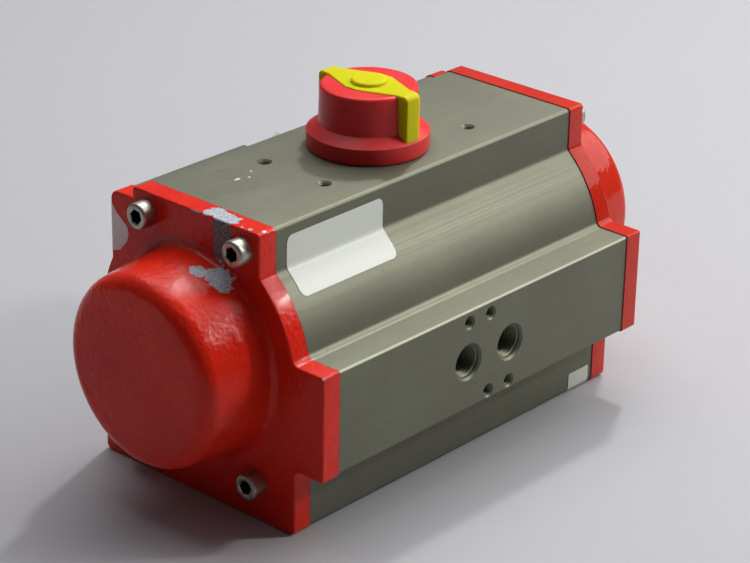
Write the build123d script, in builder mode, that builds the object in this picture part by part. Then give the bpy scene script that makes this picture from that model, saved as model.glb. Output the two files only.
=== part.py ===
from build123d import *
import os
from math import acos, cos, pi, radians, sin, sqrt, tan

os.makedirs("parts", exist_ok=True)

# Spring-return rack-and-pinion actuator, quarter turn, in millimetres.
# X runs along the body, the air ports face -Y and the pinion turns about Z.
# The origin is the pinion's axis at the bottom mounting face.

# Clearances and fits
running_gap = 0.05  # a journal in its bush, a bush in its seat
guide_gap = 0.1  # guide bands and rack pads on the bore
seal_gap = 0.15  # rubber rings and the walls round them
seat_gap = 0.1  # plain steps between fixed pieces
thread_gap = 0.05  # a screw's plain shank in its plain tapped hole

# Body: an extruded profile
body_length = 164.5
bore_radius = 41.5
barrel_wall = 7.2
barrel_foot = 9.3  # from the mounting face up to the barrel
top_rise = 5.3  # from the barrel up to the top face
top_width = 62.8
port_pad_reach = 13.7  # from the barrel's side out to the ports' face
port_pad_above = 9.4  # from the bore's axis up to the pad's ledge
port_pad_below = 31.0
stop_rail_inset = 5.7  # from the barrel's side in to the rail's face
stop_rail_drop = 4.5  # from the top face down to the rail's top
top_edge_radius = 1.5
pad_edge_radius = 1.0
base_edge_radius = 2.5
rail_edge_radius = 3.5
hollow_corner_radius = 3.0

# Air ports and the solenoid valve pad
port_spacing = 24.0
port_drop = 11.5  # from the bore's axis down to the ports
port_radius = 6.58
port_chamfer = 0.9
port_depth = 12.0
port_drill_radius = 2.5
gallery_depth = 11.0
gallery_drop = 10.5  # from the ports down to the air gallery
valve_screw_spacing = 32.0
small_tap_radius = 2.1
small_tap_sink = 2.9
small_tap_depth = 9.0
sink_angle = 90.0

# Top accessory holes and the bottom mounting holes
accessory_length = 80.0
accessory_width = 30.0
mounting_circle_turn = 45.0
small_circle_radius = 25.0
small_circle_tap = 2.5
small_circle_depth = 10.0
large_circle_radius = 35.0
large_circle_tap = 3.4
large_circle_depth = 13.0

# End caps with their spring cups
flange_thickness = 8.4
cap_proud = 0.4
cap_edge_radius = 0.7
cup_depth = 29.7
cup_shoulder = 9.4  # from the barrel's edge in to the cup's foot
cup_taper = 3.0
cup_edge_radius = 6.8
cup_root_radius = 2.6
cup_floor = 4.5
cup_wall = 6.3
cup_bore_taper = 1.4
spigot_length = 4.6
cap_seal_section = 1.3
spring_boss_gap = 3.9  # from the inner spring's coil line in to the boss
spring_boss_height = 4.0
air_channel_width = 5.0
air_channel_depth = 2.4

# Cap screws
screw_radius = 3.0
screw_clearance = 0.3
screw_head_radius = 5.0
screw_head_height = 6.0
screw_head_edge = 1.1
screw_socket_flats = 5.0
screw_socket_depth = 3.0
screw_reach = 12.0
upper_screw_inset = 7.4  # from the side of the top box
upper_screw_drop = 7.6  # from the top face
lower_screw_inset = 18.3  # from the side of the barrel
lower_screw_height = 15.2

# Rack and pinion
gear_module = 2.0
pinion_teeth = 16
pressure_angle = 20.0
tooth_backlash = 0.12
pinion_addendum = 2.0
pinion_dedendum = 2.6
rack_addendum = 1.8
rack_dedendum = 2.6
rack_face_width = 28.0
pinion_face_width = 32.0
quarter_turn = 90.0
tooth_root_sink = 1.0  # the teeth's feet reach into the core

# Pinion: journals, drive socket, cam seat and shaft top
lower_journal_radius = 18.4
lower_journal_start = 1.0
lower_journal_end = 19.0
pinion_waist_radius = 15.6
upper_neck_radius = 13.0
cam_shoulder_radius = 14.2
cam_shoulder_height = 2.0
cam_shoulder_step = 1.0
shaft_taper = 2.0
stub_edge = 1.0
upper_journal_radius = 11.0
shaft_top_height = 20.0
shaft_neck_height = 5.0
stub_radius = 8.6
stub_flats = 13.0
stub_slot_width = 4.0
stub_slot_depth = 4.0
stub_tap_radius = 2.5
stub_tap_depth = 12.0
drive_square = 17.0
drive_depth = 19.0
lower_seal_section = 1.5
lower_seal_height = 5.2
upper_seal_section = 0.8
upper_seal_drop = 1.9

# Bushes and their seats in the body
lower_bush_wall = 1.5
lower_bush_height = 6.6
lower_bush_seat = 9.2
upper_bush_wall = 1.5
upper_bush_height = 2.8

# Stop cam in its pocket over the bore
cam_pocket_radius = 20.0
cam_pocket_cover = 6.4  # from the pocket's ceiling up to the top face
cam_radius = 19.4
cam_face = 14.5
cam_hub_radius = 14.5
cam_thickness = 5.4
cam_flats = 22.7
cam_flat_turn = 22.5
cam_top_gap = 0.5

# Travel-stop screws with lock nuts, on the side away from the ports
stop_screw_radius = 4.0
stop_tip_radius = 3.0
stop_tip_length = 3.0
stop_screw_offset = 11.5
stop_screw_drop = 9.6  # from the top face
stop_screw_projection = 2.0
stop_screw_edge = 0.5
stop_socket_flats = 4.0
stop_socket_depth = 4.0
stop_nut_flats = 13.0
stop_nut_height = 4.0
stop_washer_radius = 6.4
stop_washer_thickness = 1.2
stop_recess_length = 50.0
stop_recess_depth = 18.0  # from the top face
stop_gap = 0.1

# Pistons
piston_gap = 0.4
piston_thickness = 15.5
piston_clearance = 1.0
arm_end_clearance = 0.9
arm_back_gap = 3.0
piston_seal_section = 1.9
guide_width = 4.5
guide_thickness = 1.8
groove_land = 2.2
spring_recess_depth = 3.0
pad_thickness = 3.6
pad_length = 26.0
pad_height = 18.0

# Return springs
outer_spring_gap = 3.6  # from the cup's wall in to the coil line
outer_wire_radius = 2.4
inner_spring_gap = 7.6  # from the outer coil line in to the inner one
inner_wire_radius = 1.7
spring_coils = 5
spring_clearance = 0.35

# Shaft retention over the body
thrust_bearing_radius = 17.0
thrust_bearing_thickness = 1.0
thrust_washer_radius = 16.0
thrust_washer_thickness = 0.8
ring_thickness = 1.2
ring_wall = 3.0
ring_depth = 0.9
ring_opening = 34.0

# Position indicator
indicator_lift = 0.5
skirt_radius = 23.25
skirt_edge_height = 6.5
skirt_top_height = 9.7
hood_radius = 18.8
hood_top_radius = 18.4
indicator_height = 24.4
hood_edge_radius = 1.4
skirt_bore_radius = 18.6
skirt_bore_height = 5.0
hood_wall = 2.2
hub_web = 0.8
indicator_hub_radius = 12.0
pointer_half_width = 9.7
pointer_waist = 6.0
pointer_arm_half_width = 3.9
pointer_arm_start = 17.0
pointer_end_half_width = 3.4
pointer_reach = 22.4
pointer_end_radius = 2.2
pointer_proud = 0.5
pointer_thickness = 1.8
pointer_leg_depth = 1.6
pointer_edge_radius = 0.4
button_radius = 6.8
button_height = 1.3
button_edge_radius = 1.0
indicator_screw_radius = 2.4
indicator_screw_head_radius = 4.6
indicator_screw_head_height = 2.0
indicator_screw_length = 12.0
indicator_screw_flats = 3.0
indicator_socket_depth = 1.2

# Sizes that follow from the ones above
half_body = body_length / 2
barrel_radius = bore_radius + barrel_wall
bore_height = barrel_foot + barrel_radius
body_height = bore_height + barrel_radius + top_rise
port_face = round(barrel_radius + port_pad_reach, 3)  # whole micrometres, as the sum is not exact
port_pad_top = bore_height + port_pad_above
port_pad_bottom = bore_height - port_pad_below
stop_rail_reach = barrel_radius - stop_rail_inset
stop_rail_top = body_height - stop_rail_drop
port_height = bore_height - port_drop
gallery_height = port_height - gallery_drop
cup_base_radius = barrel_radius - cup_shoulder
cup_front_radius = cup_base_radius - cup_taper
cup_bore_radius = cup_base_radius - cup_wall
cup_bore_front_radius = cup_bore_radius - cup_bore_taper
upper_screw_offset = top_width / 2 - upper_screw_inset
upper_screw_height = body_height - upper_screw_drop
lower_screw_offset = round(barrel_radius - lower_screw_inset, 3)
cam_pocket_top = body_height - cam_pocket_cover
stop_screw_height = body_height - stop_screw_drop
stop_recess_floor = body_height - stop_recess_depth
outer_spring_radius = cup_bore_front_radius - outer_spring_gap
inner_spring_radius = outer_spring_radius - inner_spring_gap
spring_boss_radius = inner_spring_radius - spring_boss_gap
pitch_radius = gear_module * pinion_teeth / 2
rack_pitch = pi * gear_module
piston_stroke = pitch_radius * radians(quarter_turn)
tip_radius = pitch_radius + pinion_addendum
root_radius = pitch_radius - pinion_dedendum
rack_tip = pitch_radius - rack_addendum
piston_outer_face = half_body - spigot_length - piston_stroke - piston_clearance
piston_inner_face = piston_outer_face - piston_thickness
arm_end = piston_inner_face - arm_end_clearance
arm_back_radius = bore_radius - arm_back_gap
cam_top = cam_pocket_top - cam_top_gap
cam_base = cam_top - cam_thickness
lower_bush_radius = lower_journal_radius + running_gap + lower_bush_wall
upper_bush_radius = upper_journal_radius + running_gap + upper_bush_wall
upper_bush_top = cam_pocket_top + upper_bush_height
rail_face = top_width / 2
shaft_top = body_height + shaft_top_height
indicator_top = body_height + indicator_height
cup_front = half_body + flange_thickness + cup_depth
cup_floor_inside = cup_front - cup_floor
ends = {"left": -1, "right": 1}

print("piston stroke", round(piston_stroke, 4), "pitch radius", pitch_radius)


def end_plane(side, distance):
    """Plane square to the bore, at a distance from the pinion's axis, facing away from it."""
    return Plane(origin=(side * distance, 0, 0), x_dir=(0, side, 0), z_dir=(side, 0, 0))


def round_corner(profile, y, z, radius):
    """Round the profile's corner nearest to the point y, z."""
    fillet(profile.vertices().sort_by_distance((y, z))[0], radius)


def housing_profile(plane, grow, flip=1):
    """Outline that the body and the caps share, grown by a small amount on the caps."""
    reach_z = bore_height - grow
    with BuildSketch(plane) as profile:
        with Locations((0, bore_height)):
            Circle(barrel_radius + grow)
        with Locations((0, body_height + grow)):
            Rectangle(top_width + 2 * grow, body_height - bore_height, align=(Align.CENTER, Align.MAX))
        with Locations((0, 0)):
            Rectangle(2 * (barrel_radius + grow), bore_height, align=(Align.CENTER, Align.MIN))
        with Locations((0, port_pad_bottom - grow)):
            pad_height_here = port_pad_top - port_pad_bottom + 2 * grow
            pad_side = Align.MAX if flip > 0 else Align.MIN
            Rectangle(port_face + grow, pad_height_here, align=(pad_side, Align.MIN))
        with Locations((0, reach_z)):
            rail_side = Align.MIN if flip > 0 else Align.MAX
            rail_height = stop_rail_top + grow - reach_z
            Rectangle(stop_rail_reach + grow, rail_height, align=(rail_side, Align.MIN))
        top_y = top_width / 2 + grow
        outer = barrel_radius + grow
        shoulder_z = bore_height + sqrt(outer**2 - top_y**2)
        rail_y = stop_rail_reach + grow
        rail_foot_z = bore_height + sqrt(outer**2 - rail_y**2)
        ledge_z = port_pad_top + grow
        ledge_y = sqrt(outer**2 - (ledge_z - bore_height) ** 2)
        pad_y = port_face + grow
        low_z = port_pad_bottom - grow
        round_corner(profile, -flip * top_y, body_height + grow, top_edge_radius)
        round_corner(profile, flip * top_y, body_height + grow, top_edge_radius)
        round_corner(profile, -flip * top_y, shoulder_z, hollow_corner_radius)
        round_corner(profile, -flip * ledge_y, ledge_z, hollow_corner_radius)
        round_corner(profile, -flip * pad_y, ledge_z, pad_edge_radius)
        round_corner(profile, -flip * pad_y, low_z, pad_edge_radius)
        round_corner(profile, -flip * outer, low_z, hollow_corner_radius)
        round_corner(profile, flip * rail_y, stop_rail_top + grow, rail_edge_radius)
        round_corner(profile, flip * rail_y, rail_foot_z, hollow_corner_radius)
        round_corner(profile, -outer, 0, base_edge_radius)
        round_corner(profile, outer, 0, base_edge_radius)
    return profile.sketch


def cap_screw_points(side):
    """Places of the four cap screws in an end plane's own coordinates."""
    rows = ((upper_screw_offset, upper_screw_height), (lower_screw_offset, lower_screw_height))
    return [(side * sign * offset, height) for offset, height in rows for sign in (-1, 1)]


# Body: extrusion, bore, holes and the machined recess of the travel stops
port_plane = Plane(origin=(0, -port_face, 0), x_dir=(1, 0, 0), z_dir=(0, -1, 0))
stop_plane = Plane(origin=(0, rail_face, stop_screw_height), x_dir=(-1, 0, 0), z_dir=(0, 1, 0))

with BuildPart() as body:
    extrude(housing_profile(Plane.YZ, 0), amount=half_body, both=True)
    with BuildSketch(Plane.YZ):
        with Locations((0, bore_height)):
            Circle(bore_radius)
    extrude(amount=half_body, both=True, mode=Mode.SUBTRACT)

    # Pinion's way up through the body: seal land, bush seat, cam pocket, bush seat, seal land
    with BuildSketch(Plane.XY):
        Circle(lower_journal_radius + seat_gap)
    extrude(amount=bore_height, mode=Mode.SUBTRACT)
    with BuildSketch(Plane.XY.offset(lower_bush_seat)):
        Circle(lower_bush_radius + running_gap)
    extrude(amount=bore_height - lower_bush_seat, mode=Mode.SUBTRACT)
    with BuildSketch(Plane.XY.offset(bore_height)):
        Circle(cam_pocket_radius)
    extrude(amount=cam_pocket_top - bore_height, mode=Mode.SUBTRACT)
    with BuildSketch(Plane.XY.offset(bore_height)):
        Circle(upper_bush_radius + running_gap)
    extrude(amount=upper_bush_top + seat_gap - bore_height, mode=Mode.SUBTRACT)
    with BuildSketch(Plane.XY.offset(bore_height)):
        Circle(upper_journal_radius + seat_gap)
    extrude(amount=body_height - bore_height, mode=Mode.SUBTRACT)

    # Accessory holes on top, two bolt circles underneath
    with Locations(Plane.XY.offset(body_height)):
        with GridLocations(accessory_length, accessory_width, 2, 2):
            CounterSinkHole(small_tap_radius, small_tap_sink, small_tap_depth, sink_angle)
    with BuildSketch(Plane.XY):
        with PolarLocations(small_circle_radius, 4, start_angle=mounting_circle_turn):
            Circle(small_circle_tap)
    extrude(amount=small_circle_depth, mode=Mode.SUBTRACT)
    with BuildSketch(Plane.XY):
        with PolarLocations(large_circle_radius, 4, start_angle=mounting_circle_turn):
            Circle(large_circle_tap)
    extrude(amount=large_circle_depth, mode=Mode.SUBTRACT)

    # Air ports and the valve pad's screw holes
    with Locations(port_plane):
        with Locations(*[(sign * port_spacing / 2, port_height) for sign in (-1, 1)]):
            CounterSinkHole(port_radius, port_radius + port_chamfer, port_depth, sink_angle)
        half_pad = valve_screw_spacing / 2
        pad_screws = [(0, half_pad), (0, -half_pad)]
        pad_screws += [(-port_spacing / 2, half_pad), (port_spacing / 2, -half_pad)]
        with Locations(*[(x, port_height + z) for x, z in pad_screws]):
            CounterSinkHole(small_tap_radius, small_tap_sink, small_tap_depth, sink_angle)

    # The left port opens into the bore, the right one into a gallery that runs to both caps
    with BuildSketch(Plane.XZ.offset(bore_radius - arm_back_gap)):
        with Locations((-port_spacing / 2, port_height)):
            Circle(port_drill_radius)
    extrude(amount=port_face - bore_radius + arm_back_gap - port_depth / 2, mode=Mode.SUBTRACT)
    with BuildSketch(Plane.YZ):
        with Locations((-port_face + gallery_depth, gallery_height)):
            Circle(port_drill_radius)
    extrude(amount=half_body, both=True, mode=Mode.SUBTRACT)
    with BuildSketch(Plane.XY.offset(gallery_height)):
        with Locations((port_spacing / 2, -port_face + gallery_depth)):
            Circle(port_drill_radius)
    extrude(amount=port_height - gallery_height, mode=Mode.SUBTRACT)

    # Flat milled across the rail, and the stop screws' holes into the cam pocket
    with BuildSketch(Plane.XY.offset(stop_recess_floor)):
        with Locations((0, rail_face)):
            Rectangle(stop_recess_length, stop_rail_reach, align=(Align.CENTER, Align.MIN))
    extrude(amount=body_height - stop_recess_floor - top_edge_radius, mode=Mode.SUBTRACT)
    with BuildSketch(stop_plane):
        with GridLocations(2 * stop_screw_offset, 1, 2, 1):
            Circle(stop_screw_radius + thread_gap)
    extrude(amount=-(rail_face - cam_face + stop_tip_length), mode=Mode.SUBTRACT)

    # Tapped holes of the cap screws at both ends
    for side in ends.values():
        with BuildSketch(end_plane(side, half_body)):
            with Locations(*cap_screw_points(side)):
                Circle(screw_radius + thread_gap)
        extrude(amount=-(screw_reach + screw_radius), mode=Mode.SUBTRACT)
body.part.label = "body"
export_step(body.part, "parts/body.step")


# End caps: flange, spring cup, spigot with its seal groove, air channel
spigot_radius = bore_radius - seat_gap
cap_groove_radius = bore_radius - 2 * cap_seal_section - 2 * seal_gap
cap_groove_start = half_body - spigot_length / 2 - cap_seal_section - seal_gap
gallery_y = -port_face + gallery_depth
channel_reach = 0.8  # middle of the air channel, as a share of the way from the bore's axis to the gallery


def bore_ring(plane, outer, inner, depth, mode):
    """Add or cut a ring round the bore's axis, along the plane's normal."""
    with BuildSketch(plane) as ring:
        with Locations((0, bore_height)):
            Circle(outer)
            Circle(inner, mode=Mode.SUBTRACT)
    extrude(ring.sketch, amount=depth, mode=mode)


def rubber_ring(label, plane, radius, section):
    """Write a round rubber ring that lies in the plane."""
    with BuildPart() as rubber:
        with Locations(plane):
            Torus(radius, section)
    rubber.part.label = label
    export_step(rubber.part, "parts/" + label + ".step")


for name, side in ends.items():
    inner_face = end_plane(side, half_body)
    outer_face = end_plane(side, half_body + flange_thickness)
    spigot_face = end_plane(side, half_body - spigot_length)
    with BuildPart() as end_cap:
        extrude(housing_profile(inner_face, cap_proud, side), amount=flange_thickness)
        rim = end_cap.faces().sort_by(Axis.X)[-1 if side > 0 else 0]
        fillet(rim.edges(), cap_edge_radius)
        with BuildSketch(outer_face):
            with Locations((0, bore_height)):
                Circle(cup_base_radius)
        with BuildSketch(end_plane(side, cup_front)):
            with Locations((0, bore_height)):
                Circle(cup_front_radius)
        loft()
        cup_face = end_cap.faces().sort_by(Axis.X)[-1 if side > 0 else 0]
        fillet(cup_face.edges(), cup_edge_radius)
        round_edges = end_cap.edges().filter_by(GeomType.CIRCLE)
        cup_foot = round_edges.filter_by(lambda edge: abs(edge.radius - cup_base_radius) < seat_gap)
        fillet(cup_foot, cup_root_radius)

        # Spigot into the bore, then the spring chamber through spigot, flange and cup
        with BuildSketch(spigot_face):
            with Locations((0, bore_height)):
                Circle(spigot_radius)
        extrude(amount=spigot_length)
        with BuildSketch(spigot_face):
            with Locations((0, bore_height)):
                Circle(cup_bore_radius)
        with BuildSketch(end_plane(side, cup_floor_inside)):
            with Locations((0, bore_height)):
                Circle(cup_bore_front_radius)
        loft(mode=Mode.SUBTRACT)
        with BuildSketch(end_plane(side, cup_floor_inside - spring_boss_height)):
            with Locations((0, bore_height)):
                Circle(spring_boss_radius)
        extrude(amount=spring_boss_height)

        groove_width = 2 * (cap_seal_section + seal_gap)
        groove_face = end_plane(side, cap_groove_start)
        bore_ring(groove_face, bore_radius, cap_groove_radius, groove_width, Mode.SUBTRACT)
        with BuildSketch(inner_face):
            channel_start = (side * gallery_y, gallery_height)
            channel_middle = (channel_reach * channel_start[0],
                              bore_height + channel_reach * (gallery_height - bore_height))
            SlotCenterPoint(channel_middle, channel_start, air_channel_width)
        extrude(amount=air_channel_depth, mode=Mode.SUBTRACT)
        with BuildSketch(inner_face):
            with Locations(*cap_screw_points(side)):
                Circle(screw_radius + screw_clearance)
        extrude(amount=flange_thickness, mode=Mode.SUBTRACT)
    end_cap.part.label = "end_cap_" + name
    export_step(end_cap.part, "parts/end_cap_" + name + ".step")

    # Rubber ring in the spigot's groove
    seal_plane = Plane(origin=(side * (half_body - spigot_length / 2), 0, bore_height), z_dir=(side, 0, 0))
    cap_seal_radius = bore_radius - seal_gap - cap_seal_section
    rubber_ring("cap_seal_" + name, seal_plane, cap_seal_radius, cap_seal_section)

    # Four socket-head screws
    with BuildPart() as cap_screws:
        with BuildSketch(outer_face):
            with Locations(*cap_screw_points(side)):
                Circle(screw_head_radius)
        extrude(amount=screw_head_height)
        head_face = end_plane(side, half_body + flange_thickness + screw_head_height)
        head_rims = cap_screws.edges().filter_by(GeomType.CIRCLE).group_by(Axis.X)
        fillet(head_rims[-1 if side > 0 else 0], screw_head_edge)
        with BuildSketch(outer_face):
            with Locations(*cap_screw_points(side)):
                Circle(screw_radius)
        extrude(amount=-(flange_thickness + screw_reach))
        with BuildSketch(head_face):
            with Locations(*cap_screw_points(side)):
                RegularPolygon(screw_socket_flats / 2, 6, major_radius=False)
        extrude(amount=-screw_socket_depth, mode=Mode.SUBTRACT)
    cap_screws.part.label = "cap_screws_" + name
    export_step(cap_screws.part, "parts/cap_screws_" + name + ".step")


# Pistons: round head, rack arm beside the pinion, grooves, spring recess, pad pocket
rack_gap = (rack_pitch + tooth_backlash) / 2
flank_slope = tan(radians(pressure_angle))
rack_root = pitch_radius + rack_dedendum
gap_mouth = rack_gap / 2 + (2 * rack_addendum) * flank_slope
gap_root = rack_gap / 2 - rack_dedendum * flank_slope
gap_mouth_y = pitch_radius - 2 * rack_addendum
gaps_before = 2
gaps_after = int(arm_end / rack_pitch)

guide_groove_width = guide_width + 2 * seat_gap
guide_start = piston_outer_face - groove_land - guide_groove_width
guide_outer = bore_radius - guide_gap
guide_inner = guide_outer - guide_thickness
seal_groove_width = 2 * (piston_seal_section + seal_gap)
seal_start = guide_start - groove_land - seal_groove_width
piston_seal_radius = bore_radius - seal_gap - piston_seal_section
recess_outer = outer_spring_radius + outer_wire_radius + 2 * spring_clearance
recess_inner = inner_spring_radius - inner_wire_radius - 2 * spring_clearance
pad_inner = guide_outer - pad_thickness


def pad_section(plane, inner, height):
    """Curved cross-section of a rack pad, on the rack's side of the bore."""
    with BuildSketch(plane) as section:
        with Locations((0, bore_height)):
            Circle(guide_outer)
            Circle(inner, mode=Mode.SUBTRACT)
            Rectangle(guide_outer, height, align=(Align.MAX, Align.CENTER), mode=Mode.INTERSECT)
    return section.sketch


for name, side in ends.items():
    rack_side = -side
    pad_start = -(arm_end - seat_gap - rack_pitch / 2)
    pad_plane = end_plane(side, pad_start)
    with BuildPart() as piston:
        with BuildSketch(end_plane(side, piston_inner_face)):
            with Locations((0, bore_height)):
                Circle(bore_radius - piston_gap)
        extrude(amount=piston_thickness)
        with BuildSketch(end_plane(side, -arm_end)):
            with Locations((0, bore_height)):
                Circle(arm_back_radius)
            with Locations((-rack_tip, bore_height)):
                Rectangle(arm_back_radius, rack_face_width, align=(Align.MAX, Align.CENTER),
                          mode=Mode.INTERSECT)
        extrude(amount=arm_end + piston_inner_face)
        with BuildSketch(Plane.XY.offset(bore_height - rack_face_width)):
            gap_centres = [rack_side * k * rack_pitch for k in range(-gaps_before, gaps_after + 1)]
            with Locations(*[(x, 0) for x in gap_centres]):
                Polygon(
                    (-gap_mouth, rack_side * gap_mouth_y),
                    (gap_mouth, rack_side * gap_mouth_y),
                    (gap_root, rack_side * rack_root),
                    (-gap_root, rack_side * rack_root),
                    align=None,
                )
        extrude(amount=2 * rack_face_width, mode=Mode.SUBTRACT)
        guide_face = end_plane(side, guide_start)
        seal_face = end_plane(side, seal_start)
        bore_ring(guide_face, bore_radius, guide_inner - seat_gap, guide_groove_width, Mode.SUBTRACT)
        seal_floor = piston_seal_radius - piston_seal_section - seal_gap
        bore_ring(seal_face, bore_radius, seal_floor, seal_groove_width, Mode.SUBTRACT)
        recess_face = end_plane(side, piston_outer_face - spring_recess_depth)
        bore_ring(recess_face, recess_outer, recess_inner, spring_recess_depth, Mode.SUBTRACT)
        pocket_face = end_plane(side, pad_start - seat_gap)
        pocket = pad_section(pocket_face, pad_inner - seat_gap, pad_height + 2 * seat_gap)
        extrude(pocket, amount=pad_length + 2 * seat_gap, mode=Mode.SUBTRACT)
    piston.part.label = "piston_" + name
    export_step(piston.part, "parts/piston_" + name + ".step")

    seal_x = side * (seal_start + seal_groove_width / 2)
    seal_plane = Plane(origin=(seal_x, 0, bore_height), z_dir=(side, 0, 0))
    rubber_ring("piston_seal_" + name, seal_plane, piston_seal_radius, piston_seal_section)

    with BuildPart() as guide:
        bore_ring(end_plane(side, guide_start + seat_gap), guide_outer, guide_inner, guide_width, Mode.ADD)
    guide.part.label = "piston_guide_" + name
    export_step(guide.part, "parts/piston_guide_" + name + ".step")

    with BuildPart() as pad:
        extrude(pad_section(pad_plane, pad_inner, pad_height), amount=pad_length)
    pad.part.label = "rack_pad_" + name
    export_step(pad.part, "parts/rack_pad_" + name + ".step")


# Return springs, one inside the other, wound opposite ways
spring_start = piston_outer_face - spring_recess_depth
spring_sizes = {
    "outer": (outer_spring_radius, outer_wire_radius, False),
    "inner": (inner_spring_radius, inner_wire_radius, True),
}
for name, side in ends.items():
    for layer, (coil_radius, wire_radius, left_hand) in spring_sizes.items():
        coil_start = spring_start + wire_radius + spring_clearance
        coil_height = cup_floor_inside - wire_radius - spring_clearance - coil_start
        with BuildPart() as spring:
            with BuildLine() as coil:
                Helix(coil_height / spring_coils, coil_height, coil_radius,
                      center=(side * coil_start, 0, bore_height), direction=(side, 0, 0),
                      lefthand=left_hand)
            with BuildSketch(Plane(origin=coil.line @ 0, z_dir=coil.line % 0)):
                Circle(wire_radius)
            sweep(path=coil.line, is_frenet=True)
        spring.part.label = "spring_" + layer + "_" + name
        export_step(spring.part, "parts/spring_" + layer + "_" + name + ".step")


# Pinion: turned shaft, involute teeth, cam seat, drive socket, slotted top
base_radius = pitch_radius * cos(radians(pressure_angle))
half_tooth = (rack_pitch - tooth_backlash) / (4 * pitch_radius)


def involute_angle(radius):
    """Half of the tooth's angle at a radius, from its centre line."""
    turn = acos(min(1.0, base_radius / radius))
    flat = radians(pressure_angle)
    return half_tooth + (tan(flat) - flat) - (tan(turn) - turn)


def tooth_flank(sign, steps=4):
    """Points up one flank, from the base circle to the tip, for a tooth that points along X."""
    radii = [base_radius + (tip_radius - base_radius) * k / steps for k in range(steps + 1)]
    return [(r * cos(involute_angle(r)), sign * r * sin(involute_angle(r))) for r in radii]


lower_seal_radius = lower_journal_radius + seat_gap - seal_gap - lower_seal_section
lower_groove_radius = lower_seal_radius - lower_seal_section - seal_gap
lower_groove_half = lower_seal_section + seal_gap
upper_seal_height = body_height - upper_seal_drop
upper_seal_radius = upper_journal_radius + seat_gap - seal_gap - upper_seal_section
upper_groove_radius = upper_seal_radius - upper_seal_section - seal_gap
upper_groove_half = upper_seal_section + seal_gap
washer_base = body_height + thrust_bearing_thickness + running_gap
ring_base = washer_base + thrust_washer_thickness + running_gap
ring_top = ring_base + ring_thickness
shaft_neck = body_height + shaft_neck_height
teeth_base = bore_height - pinion_face_width / 2
teeth_top = bore_height + pinion_face_width / 2


def shaft_groove(low, high, outer, inner):
    """Cut a ring groove round the pinion between two heights."""
    with BuildSketch(Plane.XY.offset(low)) as groove:
        Circle(outer + seat_gap)
        Circle(inner, mode=Mode.SUBTRACT)
    extrude(groove.sketch, amount=high - low, mode=Mode.SUBTRACT)


with BuildPart() as pinion:
    with BuildSketch(Plane.XZ):
        with BuildLine():
            Polyline(
                (0, lower_journal_start),
                (lower_journal_radius - 2 * seat_gap, lower_journal_start),
                (lower_journal_radius, lower_journal_start + 2 * seat_gap),
                (lower_journal_radius, lower_journal_end),
                (pinion_waist_radius, lower_journal_end + shaft_taper),
                (pinion_waist_radius, teeth_base - shaft_taper),
                (root_radius, teeth_base),
                (root_radius, teeth_top),
                (upper_neck_radius, teeth_top + shaft_taper),
                (upper_neck_radius, cam_base - cam_shoulder_height - cam_shoulder_step),
                (cam_shoulder_radius, cam_base - cam_shoulder_height),
                (cam_shoulder_radius, cam_base),
                (upper_journal_radius, cam_base),
                (upper_journal_radius, shaft_neck),
                (stub_radius, shaft_neck),
                (stub_radius, shaft_top - stub_edge),
                (stub_radius - stub_edge, shaft_top),
                (0, shaft_top),
                close=True,
            )
        make_face()
    revolve(axis=Axis.Z)
    with BuildSketch(Plane.XY.offset(teeth_base)):
        with PolarLocations(0, pinion_teeth):
            with BuildLine() as tooth:
                left = Spline(*tooth_flank(1))
                right = Spline(*tooth_flank(-1))
                ThreePointArc(left @ 1, (tip_radius, 0), right @ 1)
                inside = root_radius - tooth_root_sink
                Polyline(left @ 0, (inside, (left @ 0).Y), (inside, (right @ 0).Y), right @ 0)
            make_face()
        Circle(root_radius)
    extrude(amount=pinion_face_width)
    with BuildSketch(Plane.XY.offset(cam_base)):
        RegularPolygon(cam_flats / 2, 8, major_radius=False, rotation=cam_flat_turn)
    extrude(amount=cam_thickness)
    with BuildSketch(Plane.XY.offset(lower_journal_start)):
        Rectangle(drive_square, drive_square)
        Rectangle(drive_square, drive_square, rotation=mounting_circle_turn)
    extrude(amount=drive_depth, mode=Mode.SUBTRACT)
    with BuildSketch(Plane.XY.offset(shaft_neck)):
        Rectangle(2 * stub_radius, 4 * stub_radius)
        Rectangle(4 * stub_radius, stub_flats, mode=Mode.SUBTRACT)
    extrude(amount=shaft_top_height, mode=Mode.SUBTRACT)
    with BuildSketch(Plane.XY.offset(shaft_top)):
        Rectangle(4 * stub_radius, stub_slot_width)
    extrude(amount=-stub_slot_depth, mode=Mode.SUBTRACT)
    with Locations(Plane.XY.offset(shaft_top)):
        Hole(stub_tap_radius, stub_tap_depth)
    shaft_groove(lower_seal_height - lower_groove_half, lower_seal_height + lower_groove_half,
                 lower_journal_radius, lower_groove_radius)
    shaft_groove(upper_seal_height - upper_groove_half, upper_seal_height + upper_groove_half,
                 upper_journal_radius, upper_groove_radius)
    shaft_groove(ring_base - running_gap, ring_top + running_gap,
                 upper_journal_radius, upper_journal_radius - ring_depth)
pinion.part.label = "pinion"
export_step(pinion.part, "parts/pinion.step")

rubber_ring("pinion_seal_lower", Plane.XY.offset(lower_seal_height), lower_seal_radius, lower_seal_section)
rubber_ring("pinion_seal_upper", Plane.XY.offset(upper_seal_height), upper_seal_radius, upper_seal_section)


def flat_ring(label, base, outer, inner, thickness):
    """Write a plain ring round the pinion's axis."""
    with BuildPart() as ring:
        with BuildSketch(Plane.XY.offset(base)):
            Circle(outer)
            Circle(inner, mode=Mode.SUBTRACT)
        extrude(amount=thickness)
    ring.part.label = label
    export_step(ring.part, "parts/" + label + ".step")


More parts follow.
